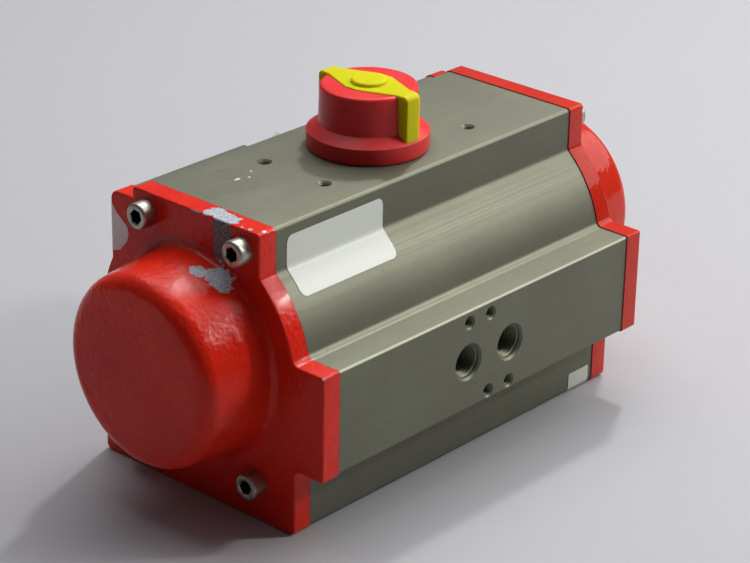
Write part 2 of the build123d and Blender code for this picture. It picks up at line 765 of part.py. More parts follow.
lower_bush_bore = lower_journal_radius + running_gap
upper_bush_bore = upper_journal_radius + running_gap
flat_ring("pinion_bush_lower", lower_bush_seat, lower_bush_radius, lower_bush_bore, lower_bush_height)
flat_ring("pinion_bush_upper", cam_pocket_top, upper_bush_radius, upper_bush_bore, upper_bush_height)
flat_ring("thrust_bearing", body_height, thrust_bearing_radius, upper_bush_bore, thrust_bearing_thickness)
flat_ring("thrust_washer", washer_base, thrust_washer_radius, upper_bush_bore, thrust_washer_thickness)


# Snap ring, open at one side
ring_inner = upper_journal_radius - ring_depth + seat_gap
with BuildPart() as retaining_ring:
    with BuildSketch(Plane.XY.offset(ring_base)):
        Circle(ring_inner + ring_wall)
        Circle(ring_inner, mode=Mode.SUBTRACT)
        mouth = 2 * ring_inner * tan(radians(ring_opening / 2))
        Rectangle(2 * ring_inner, mouth, align=(Align.MIN, Align.CENTER), mode=Mode.SUBTRACT)
    extrude(amount=ring_thickness)
retaining_ring.part.label = "retaining_ring"
export_step(retaining_ring.part, "parts/retaining_ring.step")


# Stop cam: hub with a wide lobe between two square faces a quarter turn apart
with BuildPart() as stop_cam:
    with BuildSketch(Plane.XY.offset(cam_base)):
        Circle(cam_radius)
        with Locations((cam_face, cam_face)):
            Rectangle(3 * cam_radius, 3 * cam_radius, align=(Align.MAX, Align.MAX), mode=Mode.INTERSECT)
        Rectangle(cam_radius, cam_radius, align=(Align.MIN, Align.MIN), mode=Mode.SUBTRACT)
        Circle(cam_hub_radius)
        RegularPolygon(cam_flats / 2 + running_gap, 8, major_radius=False, rotation=cam_flat_turn,
                       mode=Mode.SUBTRACT)
    extrude(amount=cam_thickness)
stop_cam.part.label = "stop_cam"
export_step(stop_cam.part, "parts/stop_cam.step")


# Travel-stop screws, with washers and lock nuts on the flat of the recess
stop_tip = cam_face + stop_gap
stop_shoulder = stop_tip + stop_tip_length
stop_nut_base = rail_face + stop_washer_thickness
stop_end = stop_nut_base + stop_nut_height + stop_screw_projection


def stop_level(distance):
    """Plane square to the stop screws at a distance from the pinion's axis."""
    return Plane(origin=(0, distance, stop_screw_height), x_dir=(-1, 0, 0), z_dir=(0, 1, 0))


for name, sign in {"closed": -1, "open": 1}.items():
    place = (-sign * stop_screw_offset, 0)
    with BuildPart() as stop_screw:
        with BuildSketch(stop_level(stop_shoulder)):
            with Locations(place):
                Circle(stop_screw_radius)
        extrude(amount=stop_end - stop_shoulder)
        outer_rim = stop_screw.edges().filter_by(GeomType.CIRCLE).group_by(Axis.Y)[-1]
        chamfer(outer_rim, stop_screw_edge)
        with BuildSketch(stop_level(stop_tip)):
            with Locations(place):
                Circle(stop_tip_radius)
        extrude(amount=stop_tip_length)
        with BuildSketch(stop_level(stop_end)):
            with Locations(place):
                RegularPolygon(stop_socket_flats / 2, 6, major_radius=False)
        extrude(amount=-stop_socket_depth, mode=Mode.SUBTRACT)
    stop_screw.part.label = "stop_screw_" + name
    export_step(stop_screw.part, "parts/stop_screw_" + name + ".step")

with BuildPart() as stop_washers:
    with BuildSketch(stop_level(rail_face)):
        with GridLocations(2 * stop_screw_offset, 1, 2, 1):
            Circle(stop_washer_radius)
            Circle(stop_screw_radius + seat_gap, mode=Mode.SUBTRACT)
    extrude(amount=stop_washer_thickness)
stop_washers.part.label = "stop_washers"
export_step(stop_washers.part, "parts/stop_washers.step")

with BuildPart() as stop_nuts:
    with BuildSketch(stop_level(stop_nut_base)):
        with GridLocations(2 * stop_screw_offset, 1, 2, 1):
            RegularPolygon(stop_nut_flats / 2, 6, major_radius=False, rotation=90)
            Circle(stop_screw_radius + thread_gap, mode=Mode.SUBTRACT)
    extrude(amount=stop_nut_height)
stop_nuts.part.label = "stop_nuts"
export_step(stop_nuts.part, "parts/stop_nuts.step")


# Position indicator: moulded hood on the shaft's flats, pointer bar let into its top and sides
skirt_base = body_height + indicator_lift
skirt_edge = body_height + skirt_edge_height
skirt_top = body_height + skirt_top_height
skirt_ceiling = body_height + skirt_bore_height
hub_ceiling = shaft_top + 2 * seat_gap
screw_seat = hub_ceiling + hub_web
pointer_base = indicator_top + pointer_proud - pointer_thickness
pointer_top = indicator_top + pointer_proud
leg_inner = hood_top_radius - pointer_leg_depth


def pointer_shape(plane, grow, legs_only):
    """Outline of the pointer bar, or of its two legs, grown by a fit all round."""
    corners = [
        (pointer_half_width, pointer_waist / 2),
        (pointer_arm_half_width, pointer_arm_start),
        (pointer_end_half_width, pointer_reach),
        (-pointer_end_half_width, pointer_reach),
        (-pointer_arm_half_width, pointer_arm_start),
        (-pointer_half_width, pointer_waist / 2),
    ]
    corners += [(-x, -y) for x, y in corners]
    with BuildSketch(plane) as shape:
        Polygon(*corners, align=None)
        if legs_only:
            Rectangle(2 * pointer_reach, 2 * leg_inner, mode=Mode.SUBTRACT)
        if grow:
            offset(amount=grow, kind=Kind.INTERSECTION)
    return shape.sketch


with BuildPart() as position_indicator:
    with BuildSketch(Plane.XZ):
        with BuildLine():
            Polyline(
                (0, skirt_base),
                (skirt_radius, skirt_base),
                (skirt_radius, skirt_edge),
                (hood_radius, skirt_top),
                (hood_top_radius, indicator_top),
                (0, indicator_top),
                close=True,
            )
        make_face()
    revolve(axis=Axis.Z)
    hood_rim = position_indicator.edges().filter_by(GeomType.CIRCLE).group_by(Axis.Z)[-1]
    fillet(hood_rim, hood_edge_radius)

    # Hollow: wide under the skirt, narrower in the hood round the hub
    with BuildSketch(Plane.XY.offset(skirt_base)):
        Circle(skirt_bore_radius)
    extrude(amount=skirt_ceiling - skirt_base, mode=Mode.SUBTRACT)
    with BuildSketch(Plane.XY.offset(skirt_ceiling)):
        Circle(hood_top_radius - hood_wall)
        Circle(indicator_hub_radius, mode=Mode.SUBTRACT)
    extrude(amount=pointer_base - hood_wall - skirt_ceiling, mode=Mode.SUBTRACT)
    with BuildSketch(Plane.XY.offset(skirt_ceiling)):
        Circle(stub_radius + seat_gap)
        Rectangle(4 * stub_radius, stub_flats + 2 * seat_gap, mode=Mode.INTERSECT)
    extrude(amount=hub_ceiling - skirt_ceiling, mode=Mode.SUBTRACT)
    with Locations(Plane.XY.offset(indicator_top)):
        CounterBoreHole(indicator_screw_radius + seat_gap, indicator_screw_head_radius + 2 * seat_gap,
                        indicator_top - screw_seat, indicator_top - hub_ceiling)

    # Seats of the pointer bar and of its legs
    extrude(pointer_shape(Plane.XY.offset(pointer_base - seat_gap), seat_gap, False),
            amount=2 * pointer_thickness, mode=Mode.SUBTRACT)
    extrude(pointer_shape(Plane.XY.offset(skirt_edge - seat_gap), seat_gap, True),
            amount=indicator_top - skirt_edge, mode=Mode.SUBTRACT)
position_indicator.part.label = "position_indicator"
export_step(position_indicator.part, "parts/position_indicator.step")

# Pointer: a bridge seen from the side, cut to its outline seen from above, with a button in its middle
with BuildPart() as indicator_pointer:
    with BuildSketch(Plane.YZ) as bridge:
        with Locations((0, pointer_top)):
            Rectangle(2 * pointer_reach, pointer_top - skirt_edge, align=(Align.CENTER, Align.MAX))
        fillet(bridge.vertices().group_by(Axis.Y)[-1], pointer_end_radius)
        with Locations((0, pointer_base)):
            Rectangle(2 * leg_inner, pointer_base, align=(Align.CENTER, Align.MAX), mode=Mode.SUBTRACT)
    extrude(amount=2 * pointer_half_width, both=True)
    outline = pointer_shape(Plane.XY.offset(skirt_edge), 0, False)
    extrude(outline, amount=pointer_top - skirt_edge, mode=Mode.INTERSECT)
    outer_edges = indicator_pointer.faces().filter_by(Axis.Z).sort_by(Axis.Z)[-1].edges()
    outer_edges += indicator_pointer.edges().filter_by(GeomType.CIRCLE)
    side_edges = outer_edges.filter_by(Axis.X, reverse=True)
    fillet(side_edges, pointer_edge_radius)
    with BuildSketch(Plane.XY.offset(pointer_top)):
        Circle(button_radius)
    extrude(amount=button_height)
    button_rim = indicator_pointer.edges().filter_by(GeomType.CIRCLE).sort_by(Axis.Z)[-1]
    fillet(button_rim, button_edge_radius)
indicator_pointer.part.label = "indicator_pointer"
export_step(indicator_pointer.part, "parts/indicator_pointer.step")

with BuildPart() as indicator_screw:
    with Locations(Plane.XY.offset(screw_seat)):
        Cylinder(indicator_screw_head_radius, indicator_screw_head_height,
                 align=(Align.CENTER, Align.CENTER, Align.MIN))
        Cylinder(indicator_screw_radius, indicator_screw_length,
                 align=(Align.CENTER, Align.CENTER, Align.MAX))
    with BuildSketch(Plane.XY.offset(screw_seat + indicator_screw_head_height)):
        RegularPolygon(indicator_screw_flats / 2, 6, major_radius=False)
    extrude(amount=-indicator_socket_depth, mode=Mode.SUBTRACT)
indicator_screw.part.label = "indicator_screw"
export_step(indicator_screw.part, "parts/indicator_screw.step")
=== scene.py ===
"""Looks of a spring-return rack-and-pinion actuator."""

import logging
import math
from collections.abc import Iterator
from contextlib import contextmanager
from dataclasses import dataclass
from enum import Enum

import bpy
from mathutils import Matrix, Vector


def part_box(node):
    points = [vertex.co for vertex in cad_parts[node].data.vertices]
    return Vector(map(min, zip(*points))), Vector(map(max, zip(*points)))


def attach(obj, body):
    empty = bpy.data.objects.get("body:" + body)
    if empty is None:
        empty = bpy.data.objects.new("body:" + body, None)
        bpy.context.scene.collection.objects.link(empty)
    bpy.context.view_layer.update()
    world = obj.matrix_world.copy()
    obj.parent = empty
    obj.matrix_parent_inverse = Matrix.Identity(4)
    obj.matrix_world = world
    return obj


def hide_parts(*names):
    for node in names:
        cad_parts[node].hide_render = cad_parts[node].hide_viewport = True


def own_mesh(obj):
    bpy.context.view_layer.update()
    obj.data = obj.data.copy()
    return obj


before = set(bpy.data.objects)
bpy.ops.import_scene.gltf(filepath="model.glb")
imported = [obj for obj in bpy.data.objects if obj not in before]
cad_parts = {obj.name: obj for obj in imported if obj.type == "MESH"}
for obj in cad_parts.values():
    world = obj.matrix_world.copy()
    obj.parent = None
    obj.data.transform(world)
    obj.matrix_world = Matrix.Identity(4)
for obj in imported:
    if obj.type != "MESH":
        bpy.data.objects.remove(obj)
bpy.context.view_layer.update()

log = logging.getLogger("actuator")

Point = tuple[float, float, float]
Colour = tuple[float, float, float]
Range = tuple[float, float]
Socket = bpy.types.NodeSocket

MM = 0.001
BORE_HEIGHT = 58 * MM
MERGE_DISTANCE = 2e-6
SMOOTH_ANGLE = math.radians(32)


class Body(Enum):
    """The moving groups of the actuator."""

    HOUSING = "housing"
    SHAFT = "output_shaft"
    STOP_CLOSED = "closed_stop"
    STOP_OPEN = "open_stop"


class End(Enum):
    """The two ends of the body, by the sign of X."""

    LEFT = -1
    RIGHT = 1

    @property
    def word(self) -> str:
        """Word that ends the node's name."""
        return self.name.lower()


class Effect(Enum):
    """The shader groups that several finishes share, by name."""

    PATCH = "ragged_patch"
    MOTTLE = "mottle"
    DRAWN = "drawn_lines"


class Shader:
    """One node tree with short calls for the nodes that the finishes use."""

    def __init__(self, tree: bpy.types.NodeTree) -> None:
        """Keep the tree and empty it.

        Args:
            tree: node tree of a material or of a shader group.
        """
        self.tree = tree
        self.tree.nodes.clear()

    def add(self, kind: str, *values: object, **settings: object) -> bpy.types.Node:
        """Add a node, set its properties and feed its first inputs.

        Args:
            kind: Blender's name of the node type.
            values: socket or plain value for each of the first inputs.
            settings: properties by name.

        Returns:
            The new node.
        """
        node = self.tree.nodes.new(kind)
        for name, value in settings.items():
            setattr(node, name, value)
        for target, value in zip(node.inputs, values):
            self.feed(target, value)
        return node

    def feed(self, target: Socket, value: object) -> None:
        """Link a socket to an input, or write a plain value into it.

        Args:
            target: input socket.
            value: output socket, number or tuple.
        """
        if isinstance(value, bpy.types.NodeSocket):
            self.tree.links.new(value, target)
        else:
            target.default_value = value

    def vector(self, operation: str, *values: object) -> bpy.types.Node:
        """Node of one vector operation."""
        return self.add("ShaderNodeVectorMath", *values, operation=operation)

    def place(self) -> Socket:
        """Object coordinates."""
        return self.add("ShaderNodeTexCoord").outputs["Object"]

    def noise(self, scale: object, detail: float, rough: float,
              vector: Socket | None = None) -> Socket:
        """Noise value between 0 and 1.

        Args:
            scale: grains per metre.
            detail: octaves.
            rough: weight of the finer octaves.
            vector: place that the noise reads, or None for the plain one.

        Returns:
            The factor socket.
        """
        node = self.add("ShaderNodeTexNoise")
        self.feed(node.inputs["Vector"], vector or self.place())
        self.feed(node.inputs["Scale"], scale)
        node.inputs["Detail"].default_value = detail
        node.inputs["Roughness"].default_value = rough
        return node.outputs["Fac"]

    def math(self, operation: str, *values: object) -> Socket:
        """Result of one scalar operation."""
        return self.add("ShaderNodeMath", *values, operation=operation).outputs[0]

    def times(self, first: object, *others: object) -> Socket:
        """Product of several values.

        Args:
            first: socket or number.
            others: sockets or numbers.

        Returns:
            The result socket.
        """
        for other in others:
            first = self.math("MULTIPLY", first, other)
        return first

    def plus(self, first: object, second: object) -> Socket:
        """Sum of two values."""
        return self.math("ADD", first, second)

    def larger(self, first: object, second: object) -> Socket:
        """Larger of two values."""
        return self.math("MAXIMUM", first, second)

    def span(self, value: Socket, low: float, high: float,
             start: float = 0.0, end: float = 1.0) -> Socket:
        """Map a range smoothly to another, clamped.

        Args:
            value: socket to map.
            low: value that gives the start.
            high: value that gives the end.
            start: result at the low value.
            end: result at the high value.

        Returns:
            The mapped socket.
        """
        node = self.add("ShaderNodeMapRange", interpolation_type="SMOOTHSTEP")
        self.feed(node.inputs["Value"], value)
        limits = {"From Min": low, "From Max": high, "To Min": start, "To Max": end}
        for name, limit in limits.items():
            node.inputs[name].default_value = limit
        return node.outputs["Result"]

    def blend(self, factor: object, first: object, second: object) -> Socket:
        """Mix two colours.

        Args:
            factor: share of the second colour.
            first: colour or socket.
            second: colour or socket.

        Returns:
            The colour socket.
        """
        node = self.add("ShaderNodeMix", data_type="RGBA")
        self.feed(node.inputs["Factor"], factor)
        colours = [socket for socket in node.inputs if socket.type == "RGBA"]
        for socket, colour in zip(colours, (first, second)):
            self.feed(socket, (*colour, 1.0) if isinstance(colour, tuple) else colour)
        return next(socket for socket in node.outputs if socket.type == "RGBA")

    def axis(self, vector: Socket, name: str) -> Socket:
        """One coordinate of a vector."""
        return self.add("ShaderNodeSeparateXYZ", vector).outputs[name]

    def bump(self, height: Socket, strength: float, distance: float,
             below: Socket | None = None) -> Socket:
        """Bump from a height.

        Args:
            height: height socket.
            strength: strength of the bump.
            distance: height of a step from 0 to 1, in metres.
            below: normal of another bump under this one.

        Returns:
            The normal socket.
        """
        node = self.add("ShaderNodeBump")
        self.feed(node.inputs["Height"], height)
        node.inputs["Strength"].default_value = strength
        node.inputs["Distance"].default_value = distance
        if below is not None:
            self.feed(node.inputs["Normal"], below)
        return node.outputs["Normal"]

    def group(self, effect: Effect, **values: object) -> bpy.types.Node:
        """Place a shared effect.

        Args:
            effect: group to place.
            values: input values by the group's input names, with _ for a blank.

        Returns:
            The group node.
        """
        node = self.add("ShaderNodeGroup", node_tree=bpy.data.node_groups[effect.value])
        for name, value in values.items():
            self.feed(node.inputs[name.replace("_", " ")], value)
        return node

    def surface(self, **values: object) -> None:
        """End the material with a Principled surface.

        Args:
            values: Principled inputs by name, with _ for a blank.
        """
        shader = self.add("ShaderNodeBsdfPrincipled")
        for name, value in values.items():
            socket = shader.inputs[name.replace("_", " ")]
            is_colour = isinstance(value, tuple) and socket.type == "RGBA"
            self.feed(socket, (*value, 1.0) if is_colour else value)
        output = self.add("ShaderNodeOutputMaterial")
        self.feed(output.inputs["Surface"], shader.outputs["BSDF"])


def new_group(effect: Effect, values: dict[str, float | Point], results: list[str]) -> Shader:
    """Start a shader group with named inputs and outputs.

    Args:
        effect: the group's name.
        values: inputs with their defaults, each a number or a vector.
        results: float outputs.

    Returns:
        Shader helper for the new group.
    """
    tree = bpy.data.node_groups.new(effect.value, "ShaderNodeTree")
    for title, default in values.items():
        kind = "NodeSocketVector" if isinstance(default, tuple) else "NodeSocketFloat"
        socket = tree.interface.new_socket(title, in_out="INPUT", socket_type=kind)
        socket.default_value = default
    for title in results:
        tree.interface.new_socket(title, in_out="OUTPUT", socket_type="NodeSocketFloat")
    return Shader(tree)


class Effects:
    """Shader groups that several finishes share, each built once."""

    def __init__(self) -> None:
        """Build the groups."""
        self.build_patch()
        self.build_mottle()
        self.build_drawn()

    def build_patch(self) -> None:
        """Ragged patch round a centre, with Mask from 0 outside to 1 inside."""
        shader = new_group(Effect.PATCH, {"Ragged": 0.4, "Grain": 400.0, "Centre": (0, 0, 0),
                                          "Reach": (1, 1, 1)}, ["Mask"])
        inputs = shader.add("NodeGroupInput")
        moved = shader.vector("SUBTRACT", shader.place(), inputs.outputs["Centre"])
        unit = shader.vector("DIVIDE", moved.outputs[0], inputs.outputs["Reach"])
        length = shader.vector("LENGTH", unit.outputs[0])
        grain = shader.noise(inputs.outputs["Grain"], 4.0, 0.6)
        centred = shader.math("SUBTRACT", grain, 0.5)
        swing = shader.times(centred, inputs.outputs["Ragged"])
        edge = shader.plus(length.outputs["Value"], swing)
        output = shader.add("NodeGroupOutput")
        shader.feed(output.inputs["Mask"], shader.span(edge, 1.03, 0.97))

    def build_mottle(self) -> None:
        """Uneven Tone round 0.5 and a few Specks from 0 to 1, as handling and dust leave them."""
        shader = new_group(Effect.MOTTLE, {"Broad": 18.0, "Fine": 240.0}, ["Tone", "Specks"])
        inputs = shader.add("NodeGroupInput")
        broad = shader.noise(inputs.outputs["Broad"], 4.0, 0.6)
        fine = shader.noise(inputs.outputs["Fine"], 3.0, 0.6)
        both = shader.plus(shader.times(broad, 0.7), shader.times(fine, 0.3))
        output = shader.add("NodeGroupOutput")
        shader.feed(output.inputs["Tone"], both)
        shader.feed(output.inputs["Specks"], shader.span(fine, 0.66, 0.74))

    def build_drawn(self) -> None:
        """Fine Line and wide Band along X round 0.5, as a drawing die or a cutter leaves them."""
        shader = new_group(Effect.DRAWN, {"Fine": (2.5, 900, 900), "Wide": (0.8, 110, 110)},
                           ["Line", "Band"])
        inputs = shader.add("NodeGroupInput")
        output = shader.add("NodeGroupOutput")
        for title, result in (("Fine", "Line"), ("Wide", "Band")):
            stretched = shader.vector("MULTIPLY", shader.place(), inputs.outputs[title])
            shader.feed(output.inputs[result], shader.noise(1.0, 3.0, 0.6, stretched.outputs[0]))


@dataclass(frozen=True)
class Patch:
    """A place where the finish is gone or dirty."""

    centre: Point
    reach: Point
    ragged: float
    grain: float

    def mask(self, shader: Shader) -> Socket:
        """Mask of this patch in a material."""
        node = shader.group(Effect.PATCH, Centre=self.centre, Reach=self.reach,
                            Ragged=self.ragged, Grain=self.grain)
        return node.outputs["Mask"]


def patches(*rows: tuple[float, ...]) -> tuple[Patch, ...]:
    """Patches from rows of centre and reach in millimetres, raggedness and grain."""
    return tuple(Patch(tuple(size * MM for size in row[:3]), tuple(size * MM for size in row[3:6]),
                       *row[6:]) for row in rows)


def joined_mask(shader: Shader, places: tuple[Patch, ...]) -> Socket:
    """Mask of several patches together.

    Args:
        shader: material's node tree.
        places: one patch or more.

    Returns:
        The mask socket.
    """
    whole = places[0].mask(shader)
    for patch in places[1:]:
        whole = shader.larger(whole, patch.mask(shader))
    return whole


@dataclass(frozen=True)
class Finish:
    """A material of the scene. Each kind of finish lays its own nodes."""

    name: str

    def make(self) -> bpy.types.Material:
        """Build the material.

        Returns:
            The material.
        """
        material = bpy.data.materials.new(self.name)
        material.use_nodes = True
        self.paint(Shader(material.node_tree))
        return material

    def paint(self, shader: Shader) -> None:
        """Lay the finish's nodes into a material's node tree."""
        raise NotImplementedError


@dataclass(frozen=True)
class Anodised(Finish):
    """Matt anodised aluminium of the extruded body, with drawn lines, stains, marks and a painted
    highlight on the port pad's upper edge.
    """

    light: Colour = (0.196, 0.204, 0.143)
    dark: Colour = (0.162, 0.164, 0.123)
    stain: Colour = (0.11, 0.11, 0.083)
    scuff: Colour = (0.62, 0.62, 0.56)
    # Colour of the painted highlight on the port pad's upper edge.
    painted_highlight: Colour = (0.56, 0.57, 0.46)
    band_share: float = 0.14
    tone_share: float = 0.7
    tone_range: Range = (0.36, 0.64)
    soil_range: Range = (0.35, 0.65)
    soil_share: float = 0.5
    speck_share: float = 0.35
    line_range: Range = (0.3, 0.7)
    rough_range: Range = (0.5, 0.57)
    soil_rough: float = 0.2
    line_height: float = 0.12
    pad_edge: Range = (62.4 * MM, 67.4 * MM)
    edge_start: float = 1.1 * MM
    edge_end: float = 0.4 * MM
    highlight_share: float = 0.3
    stains: tuple[Patch, ...] = patches(
        (-62.4, 5.4, 112, 11, 6, 3, 1.6, 130),
        (-59.4, 16, 112, 8, 5, 3, 1.8, 150),
        (0, 0, 112, 26.2, 26.2, 4, 0.35, 160),
        (-75.2, 7, 112, 9, 4, 3, 1.8, 150),
    )
    scuffs: tuple[Patch, ...] = patches(
        (-59, 10, 112, 1.4, 0.6, 1, 1.2, 600),
        (-54.5, 8.5, 112, 0.5, 0.4, 1, 1.2, 700),
        (-50, 12, 112, 0.6, 0.4, 1, 1.2, 700),
    )

    def paint(self, shader: Shader) -> None:
        """Lay the drawn metal, its soil, its scuffs and a painted highlight along the port pad's
        upper edge.

        Args:
            shader: material's node tree.
        """
        lines = shader.group(Effect.DRAWN)
        mottle = shader.group(Effect.MOTTLE, Broad=26.0, Fine=420.0)
        tone = mottle.outputs["Tone"]
        shade = shader.plus(shader.times(lines.outputs["Band"], self.band_share),
                            shader.times(tone, self.tone_share))
        colour = shader.blend(shader.span(shade, *self.tone_range), self.dark, self.light)
        soiled = shader.times(joined_mask(shader, self.stains),
                              shader.span(tone, *self.soil_range))
        dirty = shader.larger(shader.times(soiled, self.soil_share),
                              shader.times(mottle.outputs["Specks"], self.speck_share))
        colour = shader.blend(dirty, colour, self.stain)
        colour = shader.blend(joined_mask(shader, self.scuffs), colour, self.scuff)
        # Painted highlight along the port pad's upper edge.
        colour = shader.blend(self.painted_highlight_mask(shader), colour, self.painted_highlight)
        line = lines.outputs["Line"]
        rough = shader.plus(shader.span(line, *self.line_range, *self.rough_range),
                            shader.times(dirty, self.soil_rough))
        height = shader.plus(shader.times(line, self.line_height), tone)
        shader.surface(Base_Color=colour, Metallic=0.72, Roughness=rough,
                       Normal=shader.bump(height, 0.06, 0.0002))

    def painted_highlight_mask(self, shader: Shader) -> Socket:
        """Mask of the port pad's upper edge, where a highlight is painted in.

        Args:
            shader: material's node tree.

        Returns:
            The mask socket.
        """
        side, top = self.pad_edge
        place = shader.place()
        across = shader.math("ABSOLUTE", shader.axis(place, "Y"))
        near_face = shader.span(across, side - self.edge_start, side - self.edge_end)
        near_top = shader.span(shader.axis(place, "Z"), top - self.edge_start, top - self.edge_end)
        return shader.times(near_face, near_top, self.highlight_share)


@dataclass(frozen=True)
class Enamel(Finish):
    """Glossy red enamel on cast aluminium, chipped to the metal beside one screw."""

    chipped: bool = False
    # Share of the painted shade in the joint with the body.
    seam_shade_share: float = 0.85
    skin_depth: float = 0.00042
    red: Colour = (0.80, 0.028, 0.008)
    deep: Colour = (0.66, 0.016, 0.007)
    metal: Colour = (0.24, 0.27, 0.32)
    pale: Colour = (0.60, 0.63, 0.67)
    primer: Colour = (0.10, 0.055, 0.065)
    dust: Colour = (0.34, 0.20, 0.16)
    # Near-black painted shade on the cap's face that meets the body.
    seam_shade: Colour = (0.05, 0.018, 0.015)
    seam_shade_range: Range = (0.0825, 0.0823)
    tone_range: Range = (0.35, 0.7)
    rough_range: Range = (0.05, 0.09)
    dust_rough: float = 0.5
    dust_ring: tuple[Range, Range] = ((0.0382, 0.0405), (0.0438, 0.0412))
    dust_rise: Range = (0.012, 0.034)
    dust_depth: Range = (0.0955, 0.0925)
    dust_width: tuple[Range, Range] = ((-0.016, 0.008), (0.034, 0.020))
    peel_grain: float = 520.0
    wave_grain: float = 90.0
    wave_share: float = 1.2
    grit_grain: float = 1900.0
    primer_height: tuple[Range, Range] = ((0.1121, 0.1118), (0.0966, 0.0980))
    chips: tuple[Patch, ...] = patches(
        (-86.8, -6.6, 112.4, 4.2, 4, 1.4, 1.5, 520),
        (-87.6, -13.2, 112.4, 3.8, 5.6, 1.4, 1.5, 520),
        (-90.6, -13.8, 108, 1.6, 4.8, 5.2, 0.8, 620),
        (-90.6, -12.4, 102, 1.2, 3.2, 5.4, 0.8, 620),
        (-95.5, -17.2, 93.2, 4.8, 5.8, 5.4, 1.3, 460),
        (-99.2, -10.5, 95, 3, 3.2, 3, 1.4, 520),
        (-90.9, -0.8, 112.2, 0.6, 3.4, 0.6, 1.9, 900),
        (-89.6, -22.6, 112.4, 0.5, 0.7, 0.8, 1.2, 900),
        (-89.1, -26.2, 112.4, 0.8, 0.9, 0.8, 1.2, 900),
        (-87, -30.6, 112.4, 0.9, 0.7, 1, 1.2, 900),
        (-90.5, -62.6, 67.7, 0.7, 0.8, 0.8, 1.2, 900),
    )

    def paint(self, shader: Shader) -> None:
        """Lay the enamel, the dust behind the cup, painted shade in the joint with the body and the
        chips.

        Args:
            shader: material's node tree.
        """
        tone = shader.group(Effect.MOTTLE, Broad=30.0, Fine=500.0).outputs["Tone"]
        colour = shader.blend(shader.span(tone, *self.tone_range), self.deep, self.red)
        place = shader.vector("SUBTRACT", shader.place(), (0, 0, BORE_HEIGHT)).outputs[0]
        along = shader.math("ABSOLUTE", shader.axis(place, "X"))
        dusty = self.dust_mask(shader, place, along, tone)
        colour = shader.blend(dusty, colour, self.dust)
        # Painted shade in the joint with the body, on the cap's face that meets it.
        seam_shade = shader.span(along, *self.seam_shade_range, 0.0, self.seam_shade_share)
        colour = shader.blend(seam_shade, colour, self.seam_shade)
        peel = shader.noise(self.peel_grain, 1.0, 0.4)
        waves = shader.noise(self.wave_grain, 2.0, 0.5)
        skin = shader.plus(peel, shader.times(waves, self.wave_share))
        rough = shader.plus(shader.span(tone, *self.tone_range, *self.rough_range),
                            shader.times(dusty, self.dust_rough))
        normal = shader.bump(skin, 0.6, self.skin_depth)
        metallic: object = 0.0
        if self.chipped:
            bare = joined_mask(shader, self.chips)
            grit = shader.noise(self.grit_grain, 4.0, 0.7)
            colour = shader.blend(bare, colour, self.bare_metal(shader, grit))
            rough = shader.larger(rough, shader.times(bare, 0.6))
            metallic = shader.times(bare, 0.2)
            depth = shader.math("SUBTRACT", shader.times(grit, 0.35), bare)
            normal = shader.bump(depth, 0.7, 0.0003, normal)
        shader.surface(Base_Color=colour, Metallic=metallic, Roughness=rough, Normal=normal,
                       Specular_IOR_Level=0.2, Coat_Weight=0.06, Coat_Roughness=0.03)

    def dust_mask(self, shader: Shader, place: Socket, along: Socket, tone: Socket) -> Socket:
        """Mask of the dust that lies behind the spring cup's upper side.

        Args:
            shader: material's node tree.
            place: place from the bore's axis.
            along: distance from the middle along the bore.
            tone: uneven tone.

        Returns:
            The mask socket.
        """
        across, rise = shader.axis(place, "Y"), shader.axis(place, "Z")
        squares = shader.plus(shader.math("POWER", rise, 2.0), shader.math("POWER", across, 2.0))
        radius = shader.math("SQRT", squares)
        return shader.times(
            *(shader.span(radius, *limits) for limits in self.dust_ring),
            shader.span(rise, *self.dust_rise), shader.span(along, *self.dust_depth),
            *(shader.span(across, *limits) for limits in self.dust_width),
            shader.span(tone, 0.38, 0.6, 0.15, 0.5))

    def bare_metal(self, shader: Shader, grit: Socket) -> Socket:
        """Colour of the chipped places, dark with primer on the flange's front.

        Args:
            shader: material's node tree.
            grit: fine grain of the cast metal.

        Returns:
            The colour socket.
        """
        fleck = shader.blend(shader.span(grit, 0.35, 0.68), self.metal, self.pale)
        level = shader.axis(shader.place(), "Z")
        front = shader.times(*(shader.span(level, *limits) for limits in self.primer_height))
        return shader.blend(shader.times(front, shader.span(grit, 0.46, 0.6, 0.9, 0.45)),
                            fleck, self.primer)


@dataclass(frozen=True)
class Moulded(Finish):
    """Moulded plastic with a fine skin and slight fading."""

    colour: Colour
    faded: Colour
    rough: float
    gloss: float = 0.3
    glow: float = 0.0
    bleed: Colour = (0.7, 0.3, 0.1)
    soil: Colour = (0.05, 0.04, 0.03)
    soil_share: float = 0.12

    def paint(self, shader: Shader) -> None:
        """Lay the plastic.

        Args:
            shader: material's node tree.
        """
        mottle = shader.group(Effect.MOTTLE, Broad=60.0, Fine=900.0)
        tone = mottle.outputs["Tone"]
        colour = shader.blend(shader.span(tone, 0.4, 0.7, 0.0, 0.6), self.colour, self.faded)
        specks = shader.times(mottle.outputs["Specks"], self.soil_share)
        rough = shader.span(tone, 0.35, 0.7, self.rough, self.rough + 0.1)
        shader.surface(Base_Color=shader.blend(specks, colour, self.soil), Roughness=rough,
                       Specular_IOR_Level=self.gloss, Subsurface_Weight=self.glow,
                       Subsurface_Radius=self.bleed, Subsurface_Scale=4 * MM,
                       Normal=shader.bump(tone, 0.12, 0.00015))


